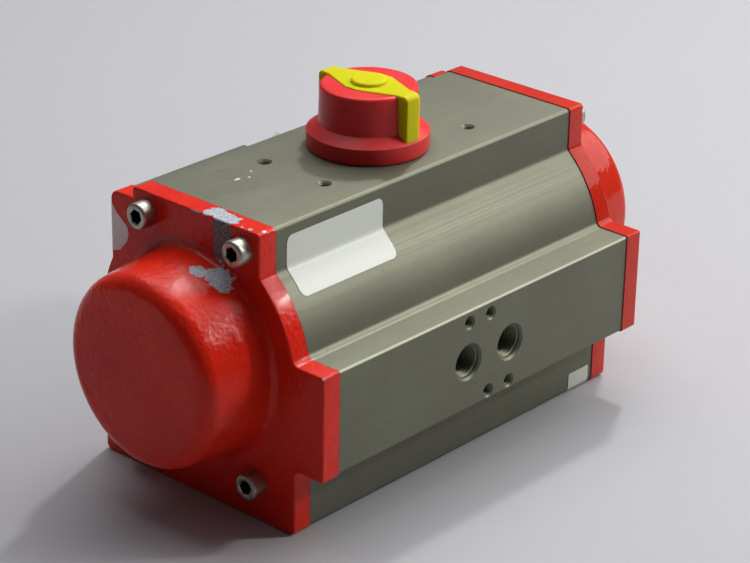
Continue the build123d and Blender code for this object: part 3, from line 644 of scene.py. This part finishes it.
@dataclass(frozen=True)
class Steel(Finish):
    """Steel or machined alloy with turning marks and a little tarnish."""

    colour: Colour
    tarnish: Colour
    rough: float
    grain: float = 1400.0
    tarnish_share: float = 0.55
    speck_share: float = 0.6

    def paint(self, shader: Shader) -> None:
        """Lay the metal.

        Args:
            shader: material's node tree.
        """
        mottle = shader.group(Effect.MOTTLE, Broad=160.0, Fine=self.grain)
        tone = mottle.outputs["Tone"]
        share = shader.larger(shader.span(tone, 0.45, 0.72, 0.0, self.tarnish_share),
                              shader.times(mottle.outputs["Specks"], self.speck_share))
        rough = shader.span(tone, 0.35, 0.7, self.rough, self.rough + 0.18)
        shader.surface(Base_Color=shader.blend(share, self.colour, self.tarnish), Metallic=0.95,
                       Roughness=rough, Normal=shader.bump(tone, 0.15, 0.0001))


@dataclass(frozen=True)
class Paper(Finish):
    """Blank adhesive label, a little soiled."""

    colour: Colour
    soil: Colour

    def paint(self, shader: Shader) -> None:
        """Lay the paper.

        Args:
            shader: material's node tree.
        """
        tone = shader.group(Effect.MOTTLE, Broad=45.0, Fine=1300.0).outputs["Tone"]
        colour = shader.blend(shader.span(tone, 0.42, 0.75, 0.0, 0.5), self.colour, self.soil)
        shader.surface(Base_Color=colour, Roughness=0.42, Normal=shader.bump(tone, 0.1, 0.00008))


@dataclass(frozen=True)
class Ground(Finish):
    """Plain pale floor."""

    colour: Colour = (0.405, 0.405, 0.432)
    paler: float = 1.05

    def paint(self, shader: Shader) -> None:
        """Lay the floor's even tone.

        Args:
            shader: material's node tree.
        """
        tone = shader.group(Effect.MOTTLE, Broad=3.0, Fine=60.0).outputs["Tone"]
        light = tuple(share * self.paler for share in self.colour)
        shader.surface(Base_Color=shader.blend(tone, self.colour, light), Roughness=0.6)


class Finishes:
    """Every material of the scene, made once."""

    def __init__(self) -> None:
        """Build the shared effects and the materials."""
        Effects()
        self.anodised = Anodised("anodised_body").make()
        self.enamel_left = Enamel("red_enamel_chipped", chipped=True).make()
        # The right cap's enamel: the same red painted darker as shade, with a finer skin and less
        # painted shade in its joint.
        self.shaded_enamel_right = Enamel(
            "red_enamel", seam_shade_share=0.1, skin_depth=0.0002,
            red=(0.60, 0.030, 0.010), deep=(0.50, 0.018, 0.009)).make()
        self.red_plastic = Moulded(
            "red_moulding", (0.72, 0.024, 0.026), (0.78, 0.036, 0.036), 0.3, glow=0.15).make()
        self.yellow_plastic = Moulded(
            "yellow_moulding", (0.56, 0.54, 0.003), (0.60, 0.58, 0.006), 0.33,
            gloss=0.08, glow=0.85, bleed=(1.0, 0.5, 0.05)).make()
        self.stainless = Steel(
            "stainless", (0.46, 0.445, 0.375), (0.22, 0.20, 0.155), 0.34).make()
        self.plated = Steel(
            "plated_steel", (0.52, 0.52, 0.50), (0.40, 0.39, 0.36), 0.28).make()
        self.alloy = Steel(
            "machined_alloy", (0.66, 0.66, 0.66), (0.55, 0.55, 0.54), 0.36).make()
        # Near-black material for the screws' hexagonal sockets: painted shade in the recess.
        self.socket_grime = Moulded(
            "socket_grime", (0.012, 0.011, 0.009), (0.03, 0.027, 0.02), 0.6).make()
        self.spring_steel = Steel(
            "spring_steel", (0.20, 0.21, 0.23), (0.12, 0.12, 0.13), 0.38).make()
        self.rubber = Moulded(
            "black_rubber", (0.018, 0.018, 0.018), (0.03, 0.03, 0.03), 0.5).make()
        self.polymer = Moulded(
            "bearing_polymer", (0.72, 0.69, 0.60), (0.66, 0.62, 0.52), 0.4).make()
        self.white_paper = Paper("label_white", (0.74, 0.77, 0.72), (0.76, 0.77, 0.72)).make()
        # A second, darker paper for the small label low on the body's side.
        self.darker_paper = Paper("label_worn", (0.60, 0.61, 0.57), (0.46, 0.46, 0.43)).make()
        self.grey_paper = Paper("label_grey", (0.90, 0.86, 0.82), (0.70, 0.62, 0.60)).make()
        self.ground = Ground("pale_floor").make()


def deselect_all() -> None:
    """Leave object mode with nothing selected."""
    if bpy.context.object and bpy.context.object.mode != "OBJECT":
        bpy.ops.object.mode_set(mode="OBJECT")
    bpy.ops.object.select_all(action="DESELECT")


def activate(piece: bpy.types.Object) -> None:
    """Select one piece alone and make it active."""
    deselect_all()
    piece.select_set(True)
    bpy.context.view_layer.objects.active = piece


@contextmanager
def edit_mode(piece: bpy.types.Object) -> Iterator[None]:
    """Work on one piece's mesh by operators, then leave edit mode.

    Args:
        piece: object to work on.

    Yields:
        Nothing, once edit mode is on.
    """
    activate(piece)
    bpy.ops.object.mode_set(mode="EDIT")
    yield
    bpy.ops.object.mode_set(mode="OBJECT")


def put_in_scene(name: str, data: bpy.types.ID) -> bpy.types.Object:
    """Add an object for a mesh, a lamp or a lens.

    Args:
        name: the object's name.
        data: what it shows.

    Returns:
        The new object.
    """
    item = bpy.data.objects.new(name, data)
    bpy.context.scene.collection.objects.link(item)
    return item


def apply_modifier(piece: bpy.types.Object, kind: str, **settings: object) -> None:
    """Add a modifier and apply it.

    Args:
        piece: object that gets it.
        kind: Blender's modifier type.
        settings: its properties by name.
    """
    activate(piece)
    modifier = piece.modifiers.new(kind.lower(), kind)
    for name, value in settings.items():
        setattr(modifier, name, value)
    bpy.ops.object.modifier_apply(modifier=modifier.name)


def settle(piece: bpy.types.Object, name: str,
           smooth: float | None = SMOOTH_ANGLE) -> bpy.types.Object:
    """Name a piece, put its place into its mesh and shade it smooth.

    Args:
        piece: finished object.
        name: the piece's name.
        smooth: angle over which an edge stays sharp, or None for flat shading.

    Returns:
        The same object.
    """
    activate(piece)
    bpy.ops.object.transform_apply(location=True, rotation=True, scale=True)
    if smooth is not None:
        bpy.ops.object.shade_smooth_by_angle(angle=smooth)
    piece.name = name
    piece.data.name = name
    return piece


def dress(piece: bpy.types.Object, *materials: bpy.types.Material) -> None:
    """Give a piece its materials.

    Args:
        piece: object to dress.
        materials: one material for each slot, in order.
    """
    piece.data.materials.clear()
    for material in materials:
        piece.data.materials.append(material)


def mount(piece: bpy.types.Object, body: Body,
          material: bpy.types.Material | None = None) -> None:
    """Dress a new piece, let it ride on its body and report it.

    Args:
        piece: finished object.
        body: body that it rides on.
        material: its finish, or None where it has its materials already.
    """
    if material is not None:
        dress(piece, material)
    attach(piece, body.value)
    log.info("%s rides on %s, %d faces", piece.name, body.value, len(piece.data.polygons))


def merged_copy(node: str, name: str) -> bpy.types.Object:
    """Copy a CAD node's mesh, merge its loose triangles and shade it smooth.

    Args:
        node: name of the node.
        name: name of the new piece.

    Returns:
        The new object.
    """
    piece = put_in_scene(name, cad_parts[node].data.copy())
    with edit_mode(piece):
        bpy.ops.mesh.select_all(action="SELECT")
        bpy.ops.mesh.remove_doubles(threshold=MERGE_DISTANCE)
    bpy.ops.mesh.customdata_custom_splitnormals_clear()
    return settle(piece, name)


def add_cylinder(radius: float, depth: float, along: float, sides: int) -> bpy.types.Object:
    """Cylinder that starts at the origin and runs up or down.

    Args:
        radius: radius in metres.
        depth: length in metres.
        along: 1 for up, -1 for down.
        sides: number of side faces.

    Returns:
        The new object.
    """
    deselect_all()
    bpy.ops.mesh.primitive_cylinder_add(
        vertices=sides, radius=radius, depth=depth, location=(0, 0, along * depth / 2))
    return bpy.context.object


def join(pieces: list[bpy.types.Object]) -> bpy.types.Object:
    """Join several objects into the first one.

    Args:
        pieces: objects to join.

    Returns:
        The joined object.
    """
    activate(pieces[0])
    for piece in pieces[1:]:
        piece.select_set(True)
    bpy.ops.object.join()
    return bpy.context.object


def clear_selection(mesh: bpy.types.Mesh) -> None:
    """Deselect a mesh's corners, edges and faces."""
    for part in (*mesh.vertices, *mesh.edges, *mesh.polygons):
        part.select = False


@dataclass
class SubAssembly:
    """Pieces that belong together, with the finishes that dress them."""

    finishes: Finishes


@dataclass
class SocketScrew(SubAssembly):
    """Stainless socket-head cap screw with a rounded head edge and a dark hexagonal socket."""

    head_radius: float = 5 * MM
    head_height: float = 6 * MM
    edge: float = 1.1 * MM
    edge_steps: int = 6
    shank_radius: float = 3 * MM
    shank_length: float = 20 * MM
    shank_sides: int = 32
    socket_flats: float = 5 * MM
    socket_depth: float = 3.2 * MM
    sink: float = 0.3 * MM
    sides: int = 72

    def build(self) -> bpy.types.Object:
        """Model the screw upright, with the face under its head at the origin.

        Returns:
            The screw, with the socket in a second material.
        """
        head = add_cylinder(self.head_radius, self.head_height, 1, self.sides)
        settle(head, "screw_head", None)
        self.round_rim(head)
        corner = self.socket_flats / math.sqrt(3)
        self.push_in(head, self.head_radius - self.edge - corner - self.sink, 0.0)
        self.push_in(head, self.sink, self.sink)
        self.shape_hexagon(head)
        self.push_in(head, 0.0, self.socket_depth)
        # The socket's faces get the near-black material as painted shade in the recess.
        dress(head, self.finishes.stainless, self.finishes.socket_grime)
        rim = self.head_height - 1.5 * self.sink
        for face in head.data.polygons:
            reach = math.hypot(face.center.x, face.center.y)
            in_socket = reach < corner and self.head_height / 3 < face.center.z < rim
            face.material_index = int(in_socket)
        shank = add_cylinder(self.shank_radius, self.shank_length, -1, self.shank_sides)
        dress(shank, self.finishes.stainless)
        return join([head, shank])

    def round_rim(self, head: bpy.types.Object) -> None:
        """Round the head's upper edge.

        Args:
            head: the screw's head.
        """
        mesh = head.data
        clear_selection(mesh)
        for edge in mesh.edges:
            edge.select = all(mesh.vertices[index].co.z > self.head_height * 0.99
                              for index in edge.vertices)
        with edit_mode(head):
            bpy.ops.mesh.select_mode(type="EDGE")
            bpy.ops.mesh.bevel(offset=self.edge, segments=self.edge_steps, affect="EDGES")

    def top_face(self, head: bpy.types.Object) -> bpy.types.MeshPolygon:
        """Face in the middle of the head's top."""
        return max(head.data.polygons,
                   key=lambda face: (len(face.vertices) >= self.sides, face.center.z))

    def push_in(self, head: bpy.types.Object, inset: float, depth: float) -> None:
        """Inset or extrude the face in the middle of the head's top, and sink it.

        Args:
            head: the screw's head.
            inset: width of the new rim, or 0 for a straight wall.
            depth: how far the face goes down.
        """
        middle = self.top_face(head)
        clear_selection(head.data)
        middle.select = True
        down = (0, 0, -depth)
        with edit_mode(head):
            bpy.ops.mesh.select_mode(type="FACE")
            if inset:
                bpy.ops.mesh.inset(thickness=inset)
                bpy.ops.transform.translate(value=down)
            else:
                bpy.ops.mesh.extrude_region_move(TRANSFORM_OT_translate={"value": down})

    def shape_hexagon(self, head: bpy.types.Object) -> None:
        """Move the middle face's corners onto the socket's hexagon.

        Args:
            head: the screw's head.
        """
        for index in self.top_face(head).vertices:
            corner = head.data.vertices[index]
            angle = math.atan2(corner.co.y, corner.co.x)
            turn = angle % math.radians(60) - math.radians(30)
            reach = self.socket_flats / 2 / math.cos(turn)
            corner.co.x, corner.co.y = reach * math.cos(angle), reach * math.sin(angle)


@dataclass
class EndCap(SubAssembly):
    """One enamelled end cap with its four screws."""

    end: End
    screw_row_step: float = 6.4 * MM
    screw_turns: tuple[float, float, float] = (17, 23, 40)

    def build(self) -> None:
        """Model and mount the cap and its screws."""
        node = "end_cap_" + self.end.word
        cap = merged_copy(node, "enamelled_cap_" + self.end.word)
        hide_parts(node)
        left, right = self.finishes.enamel_left, self.finishes.shaded_enamel_right
        mount(cap, Body.HOUSING, left if self.end is End.LEFT else right)
        self.build_screws()

    def build_screws(self) -> None:
        """Model one screw and copy it to the places of the node's four."""
        node = "cap_screws_" + self.end.word
        low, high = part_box(node)
        screw = SocketScrew(self.finishes)
        outermost = high.x if self.end is End.RIGHT else low.x
        seat_x = outermost - self.end.value * screw.head_height
        lower_y = high.y - screw.head_radius
        rows = ((lower_y, low.z + screw.head_radius),
                (lower_y - self.screw_row_step, high.z - screw.head_radius))
        lay_down = Matrix.Rotation(self.end.value * math.pi / 2, 4, "Y")
        first, per_row, per_side = self.screw_turns
        pattern = screw.build()
        copies = []
        for row, (y, z) in enumerate(rows):
            for side in (-1, 1):
                copy = put_in_scene("screw", pattern.data.copy())
                turn = math.radians(first + per_row * row + per_side * side)
                copy.matrix_world = (Matrix.Translation((seat_x, side * y, z)) @ lay_down
                                     @ Matrix.Rotation(turn, 4, "Z"))
                copies.append(copy)
        bpy.data.objects.remove(pattern)
        screws = settle(join(copies), "socket_screws_" + self.end.word)
        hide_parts(node)
        mount(screws, Body.HOUSING)


@dataclass(frozen=True)
class ThreadSleeve:
    """Thread inside a tapped hole, as a thin ring of helical ridges."""

    outer: float
    inner: float
    pitch: float
    turns: int
    steps: int
    crest_share: float = 0.15

    def build(self, mouth: Point, inward: Point) -> bpy.types.Object:
        """Model the sleeve from the mouth inwards.

        Args:
            mouth: centre of the hole's mouth.
            inward: direction into the hole.

        Returns:
            The sleeve.
        """
        deselect_all()
        bpy.ops.mesh.primitive_plane_add(size=1.0)
        sleeve = bpy.context.object
        half = self.pitch / 2
        crest = self.inner + self.crest_share * (self.outer - self.inner)
        profile = [(self.outer, -half), (self.inner, 0.0), (self.outer, half), (crest, 0.0)]
        order = sorted(sleeve.data.vertices, key=lambda vertex: (vertex.co.y, vertex.co.x))
        for vertex, (radius, level) in zip(order, profile):
            vertex.co = (radius, 0.0, level)
        apply_modifier(sleeve, "SCREW", axis="Z", angle=math.tau, screw_offset=self.pitch,
                       iterations=self.turns, steps=self.steps, render_steps=self.steps)
        sleeve.rotation_euler = Vector(inward).to_track_quat("Z", "Y").to_euler()
        sleeve.location = Vector(mouth) + Vector(inward) * half
        return sleeve


@dataclass
class Housing(SubAssembly):
    """The anodised body with its threads."""

    port_x: float = 12 * MM
    port_z: float = 46.5 * MM
    sink: float = 0.7 * MM
    pad_screw_rise: float = 16 * MM
    accessory_x: float = 40 * MM
    accessory_y: float = 15 * MM
    port_thread: ThreadSleeve = ThreadSleeve(6.56 * MM, 5.75 * MM, 1.337 * MM, 7, 40)
    small_thread: ThreadSleeve = ThreadSleeve(2.09 * MM, 1.8 * MM, 0.8 * MM, 8, 20)

    def build(self) -> bpy.types.Object:
        """Model and mount the body's shell and threads.

        Returns:
            The shell, which the labels lie on.
        """
        shell = merged_copy("body", "extruded_body")
        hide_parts("body")
        mount(shell, Body.HOUSING, self.finishes.anodised)
        low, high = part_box("body")
        pad_y, top_z = low.y + self.sink, high.z - self.sink
        sleeves = []
        for sign in (-1, 1):
            mouth = (sign * self.port_x, pad_y, self.port_z)
            sleeves.append(self.port_thread.build(mouth, (0, 1, 0)))
            for x in (0.0, sign * self.port_x):
                mouth = (x, pad_y, self.port_z - sign * self.pad_screw_rise)
                sleeves.append(self.small_thread.build(mouth, (0, 1, 0)))
            for x in (-self.accessory_x, self.accessory_x):
                mouth = (x, sign * self.accessory_y, top_z)
                sleeves.append(self.small_thread.build(mouth, (0, 0, -1)))
        threads = settle(join(sleeves), "tapped_threads")
        mount(threads, Body.HOUSING, self.finishes.anodised)
        return shell


@dataclass(frozen=True)
class LabelPlan:
    """A label's place, as a rectangle that is laid onto the body."""

    name: str
    start: Point
    end: Point
    along: Range
    corner: float
    cells: tuple[int, int]


@dataclass
class Labels(SubAssembly):
    """Blank adhesive labels on the body and a torn rest on the left cap."""

    thickness: float = 0.12 * MM
    lift: float = 0.06 * MM
    corner_cuts: int = 5
    drop: float = 20 * MM
    reach: float = 60 * MM
    large: LabelPlan = LabelPlan("body_label", (0, -0.0317, 0.1077), (0, -0.0396, 0.0864),
                                 (-0.0768, -0.0262), 3.2 * MM, (48, 40))
    small: LabelPlan = LabelPlan("end_label", (0, -0.0488, 0.0086), (0, -0.0488, 0.0010),
                                 (0.0672, 0.0802), 1.0 * MM, (12, 8))
    cap_front: float = -90.65 * MM
    torn_corners: tuple[Range, ...] = (
        (42.9, 103.0), (40.2, 99.6), (34.6, 95.2), (34.2, 92.4), (34.9, 90.0), (38.8, 85.4),
        (42.9, 83.9))

    def build(self, shell: bpy.types.Object) -> None:
        """Model and mount the labels.

        Args:
            shell: body's shell, which they lie on.
        """
        papers = (self.finishes.white_paper, self.finishes.darker_paper)
        for plan, paper in zip((self.large, self.small), papers):
            mount(self.lay(plan, shell), Body.HOUSING, paper)
        self.build_torn()

    def lay(self, plan: LabelPlan, shell: bpy.types.Object) -> bpy.types.Object:
        """Lay one label onto the body.

        Args:
            plan: the label's plan.
            shell: body's shell.

        Returns:
            The label.
        """
        start, end = Vector(plan.start), Vector(plan.end)
        width = plan.along[1] - plan.along[0]
        chord = (start - end).length
        deselect_all()
        columns, rows = plan.cells
        bpy.ops.mesh.primitive_grid_add(x_subdivisions=columns, y_subdivisions=rows, size=1.0)
        label = bpy.context.object
        label.scale = (width, chord, 1.0)
        bpy.ops.object.transform_apply(location=False, rotation=False, scale=True)
        self.round_corners(label, width / 2, chord / 2, plan.corner)
        across = (start - end).normalized()
        side = Vector((1, 0, 0))
        outward = side.cross(across)
        turn = Matrix((side, across, outward)).transposed().to_4x4()
        middle = (start + end) / 2 + side * sum(plan.along) / 2 + outward * self.drop
        label.matrix_world = Matrix.Translation(middle) @ turn
        apply_modifier(label, "SHRINKWRAP", target=shell, wrap_method="PROJECT",
                       use_project_z=True, use_negative_direction=True,
                       use_positive_direction=False, offset=self.lift, project_limit=self.reach)
        apply_modifier(label, "SMOOTH", factor=0.5, iterations=3)
        apply_modifier(label, "SOLIDIFY", thickness=self.thickness, offset=1.0)
        return settle(label, plan.name)

    def round_corners(self, label: bpy.types.Object, half_width: float, half_chord: float,
                      radius: float) -> None:
        """Cut the four corners round.

        Args:
            label: flat label at the origin.
            half_width: half of its size along X.
            half_chord: half of its size along Y.
            radius: the corners' radius.
        """
        steps = [math.radians(90) * (step + 0.5) / self.corner_cuts
                 for step in range(self.corner_cuts)]
        with edit_mode(label):
            for sign_x, sign_y in ((-1, -1), (-1, 1), (1, -1), (1, 1)):
                centre = Vector((sign_x * (half_width - radius), sign_y * (half_chord - radius), 0))
                for angle in steps:
                    normal = Vector((sign_x * math.cos(angle), sign_y * math.sin(angle), 0))
                    bpy.ops.mesh.select_all(action="SELECT")
                    bpy.ops.mesh.bisect(plane_co=centre + normal * radius, plane_no=normal,
                                        clear_outer=True)

    def build_torn(self) -> None:
        """Model the torn rest of a label on the left cap's front."""
        deselect_all()
        bpy.ops.mesh.primitive_circle_add(vertices=len(self.torn_corners), radius=1.0,
                                          fill_type="NGON")
        rest = bpy.context.object
        for vertex, (y, z) in zip(rest.data.vertices, self.torn_corners):
            vertex.co = (self.cap_front - self.lift, y * MM, z * MM)
        apply_modifier(rest, "SOLIDIFY", thickness=self.thickness, offset=0.0)
        settle(rest, "torn_label", None)
        with edit_mode(rest):
            bpy.ops.mesh.select_all(action="SELECT")
            bpy.ops.mesh.normals_make_consistent(inside=False)
        mount(rest, Body.HOUSING, self.finishes.grey_paper)


@dataclass
class Indicator(SubAssembly):
    """Red moulded hood with the yellow pointer bar."""

    crisp_angle: float = math.radians(14)

    def build(self) -> None:
        """Model and mount hood and pointer."""
        hood = merged_copy("position_indicator", "indicator_hood")
        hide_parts("position_indicator")
        mount(hood, Body.SHAFT, self.finishes.red_plastic)
        bar = merged_copy("indicator_pointer", "pointer_bar")
        settle(bar, bar.name, self.crisp_angle)
        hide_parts("indicator_pointer")
        mount(bar, Body.SHAFT, self.finishes.yellow_plastic)


@dataclass
class ReturnSprings(SubAssembly):
    """Nested return springs, built at one fixed length; the real ones shorten as their piston
    slides out.
    """

    stroke: float = 25.1327 * MM
    turns: int = 5
    wire_sides: int = 14
    steps: int = 40
    sizes: tuple[tuple[str, float, float, int], ...] = (
        ("outer", 28.0 * MM, 2.4 * MM, 1), ("inner", 20.4 * MM, 1.7 * MM, -1))

    def build(self) -> None:
        """Model and mount the four springs."""
        for end in End:
            for layer, radius, wire, hand in self.sizes:
                self.build_one(end, layer, (radius, wire, hand))

    def build_one(self, end: End, layer: str, size: tuple[float, float, int]) -> None:
        """Model one spring.

        Args:
            end: end of the body.
            layer: outer or inner.
            size: coil radius, wire radius and hand.
        """
        radius, wire, hand = size
        node = "spring_" + layer + "_" + end.word
        low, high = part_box(node)
        length = high.x - low.x
        pitch = (length - 2 * wire) / self.turns
        deselect_all()
        bpy.ops.mesh.primitive_circle_add(
            vertices=self.wire_sides, radius=wire, fill_type="NGON",
            location=(radius, 0, 0), rotation=(math.pi / 2, 0, 0))
        spring = bpy.context.object
        bpy.ops.object.transform_apply(location=True, rotation=True, scale=True)
        apply_modifier(spring, "SCREW", axis="Z", angle=hand * math.tau, screw_offset=pitch,
                       iterations=self.turns, steps=self.steps, render_steps=self.steps)
        spring.rotation_euler = (0, math.pi / 2, 0)
        spring.location = (low.x + wire, 0, BORE_HEIGHT)
        settle(spring, "return_" + node)
        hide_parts(node)
        mount(spring, Body.HOUSING, self.finishes.spring_steel)
        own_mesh(spring)


@dataclass
class TravelStops(SubAssembly):
    """Stop screws with their washers and lock nuts."""

    def build(self) -> None:
        """Model and mount the pieces."""
        plans = (("stop_screw_closed", Body.STOP_CLOSED), ("stop_screw_open", Body.STOP_OPEN),
                 ("stop_nuts", Body.HOUSING), ("stop_washers", Body.HOUSING))
        for node, body in plans:
            piece = merged_copy(node, node + "_finished")
            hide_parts(node)
            mount(piece, body, self.finishes.stainless)


@dataclass
class InnerParts(SubAssembly):
    """Finishes of the CAD nodes, by the first letters of their names."""

    def build(self) -> None:
        """Dress the nodes."""
        use = self.finishes
        plan: dict[str, bpy.types.Material] = {
            "pinion": use.plated, "pinion_bush": use.polymer, "pinion_seal": use.rubber,
            "stop_cam": use.plated, "stop_": use.stainless, "thrust_bearing": use.polymer,
            "thrust_washer": use.stainless, "retaining_ring": use.stainless,
            "piston_seal": use.rubber, "piston_guide": use.polymer, "piston_left": use.alloy,
            "piston_right": use.alloy, "rack_pad": use.polymer, "spring": use.spring_steel,
            "body": use.anodised, "end_cap": use.shaded_enamel_right, "cap_seal": use.rubber,
            "cap_screws": use.stainless, "position_indicator": use.red_plastic,
            "indicator_pointer": use.yellow_plastic, "indicator_screw": use.stainless,
        }
        for name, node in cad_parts.items():
            stem = max((key for key in plan if name.startswith(key)), key=len)
            dress(node, plan[stem])
            log.info("%s has the finish %s", name, plan[stem].name)


@dataclass(frozen=True)
class Softbox:
    """One square area light."""

    name: str
    place: Point
    size: float
    power: float
    colour: Colour
    aim: Point = (0.0, 0.0, 0.06)

    def build(self) -> None:
        """Add the light, turned to its aim."""
        lamp = bpy.data.lights.new(self.name, "AREA")
        lamp.shape = "SQUARE"
        lamp.size = self.size
        lamp.energy = self.power
        lamp.color = self.colour
        stand = put_in_scene(self.name, lamp)
        stand.location = self.place
        beam = Vector(self.aim) - Vector(self.place)
        stand.rotation_euler = beam.to_track_quat("-Z", "Y").to_euler()


@dataclass
class Studio(SubAssembly):
    """Floor, lights, world and camera."""

    azimuth: float = math.radians(-48.37)
    elevation: float = math.radians(24.40)
    roll: float = math.radians(1.10)
    place: Point = (-0.68078, -0.61002, 0.47011)
    focal: float = 2617.0
    picture_width: float = 750.0
    sensor: float = 36.0
    floor_size: float = 8.0
    floor_level: float = 0.0
    room_colour: Colour = (0.96, 0.97, 1.0)
    room_levels: Range = (0.02, 0.22)
    room_fade: Range = (-0.25, 1.0)
    bright_side: Point = (0.45, 0.25, 0.857)
    lights: tuple[Softbox, ...] = (
        Softbox("window_above", (0.30, 0.45, 1.45), 1.2, 12.0, (0.99, 0.99, 1.0)),
        Softbox("side_window", (0.87, -0.87, 0.86), 0.10, 6.5, (1.0, 0.99, 0.95)),
        Softbox("high_lamp", (0.90, 0.36, 1.28), 0.10, 7.5, (1.0, 0.99, 0.96)),
        Softbox("right_panel", (0.95, -0.40, 1.00), 1.35, 13.5, (1.0, 0.99, 0.95)),
    )

    def build(self) -> None:
        """Set up the whole studio."""
        self.build_floor()
        for light in self.lights:
            light.build()
        self.build_world()
        self.build_camera()

    def build_floor(self) -> None:
        """Add the plain pale floor."""
        deselect_all()
        bpy.ops.mesh.primitive_plane_add(size=self.floor_size, location=(0, 0, self.floor_level))
        floor = bpy.context.object
        floor.name = "studio_floor"
        dress(floor, self.finishes.ground)

    def build_world(self) -> None:
        """Light the scene softly from all round."""
        world = bpy.data.worlds.new("studio_world")
        bpy.context.scene.world = world
        world.use_nodes = True
        shader = Shader(world.node_tree)
        background = shader.add("ShaderNodeBackground")
        background.inputs["Color"].default_value = (*self.room_colour, 1.0)
        direction = shader.add("ShaderNodeTexCoord").outputs["Generated"]
        toward = shader.vector("DOT_PRODUCT", direction, self.bright_side)
        strength = shader.span(toward.outputs["Value"], *self.room_fade, *self.room_levels)
        shader.feed(background.inputs["Strength"], strength)
        output = shader.add("ShaderNodeOutputWorld")
        shader.feed(output.inputs["Surface"], background.outputs["Background"])

    def build_camera(self) -> None:
        """Place the camera where the photograph was taken from."""
        lens = bpy.data.cameras.new("photo_camera")
        lens.sensor_width = self.sensor
        lens.lens = self.focal * self.sensor / self.picture_width
        camera = put_in_scene("photo_camera", lens)
        tilt = Matrix.Rotation(math.pi / 2 - self.elevation, 4, "X")
        turn = Matrix.Rotation(self.azimuth, 4, "Z") @ tilt @ Matrix.Rotation(self.roll, 4, "Z")
        camera.matrix_world = Matrix.Translation(self.place) @ turn
        bpy.context.scene.camera = camera
        bpy.context.scene.view_settings.view_transform = "Standard"


def main() -> None:
    """Build every sub-assembly round the frame, then the studio."""
    logging.basicConfig(level=logging.INFO, format="%(name)s: %(message)s")
    finishes = Finishes()
    InnerParts(finishes).build()
    shell = Housing(finishes).build()
    Labels(finishes).build(shell)
    for end in End:
        EndCap(finishes, end).build()
    Indicator(finishes).build()
    TravelStops(finishes).build()
    ReturnSprings(finishes).build()
    Studio(finishes).build()


if __name__ == "__main__":
    main()
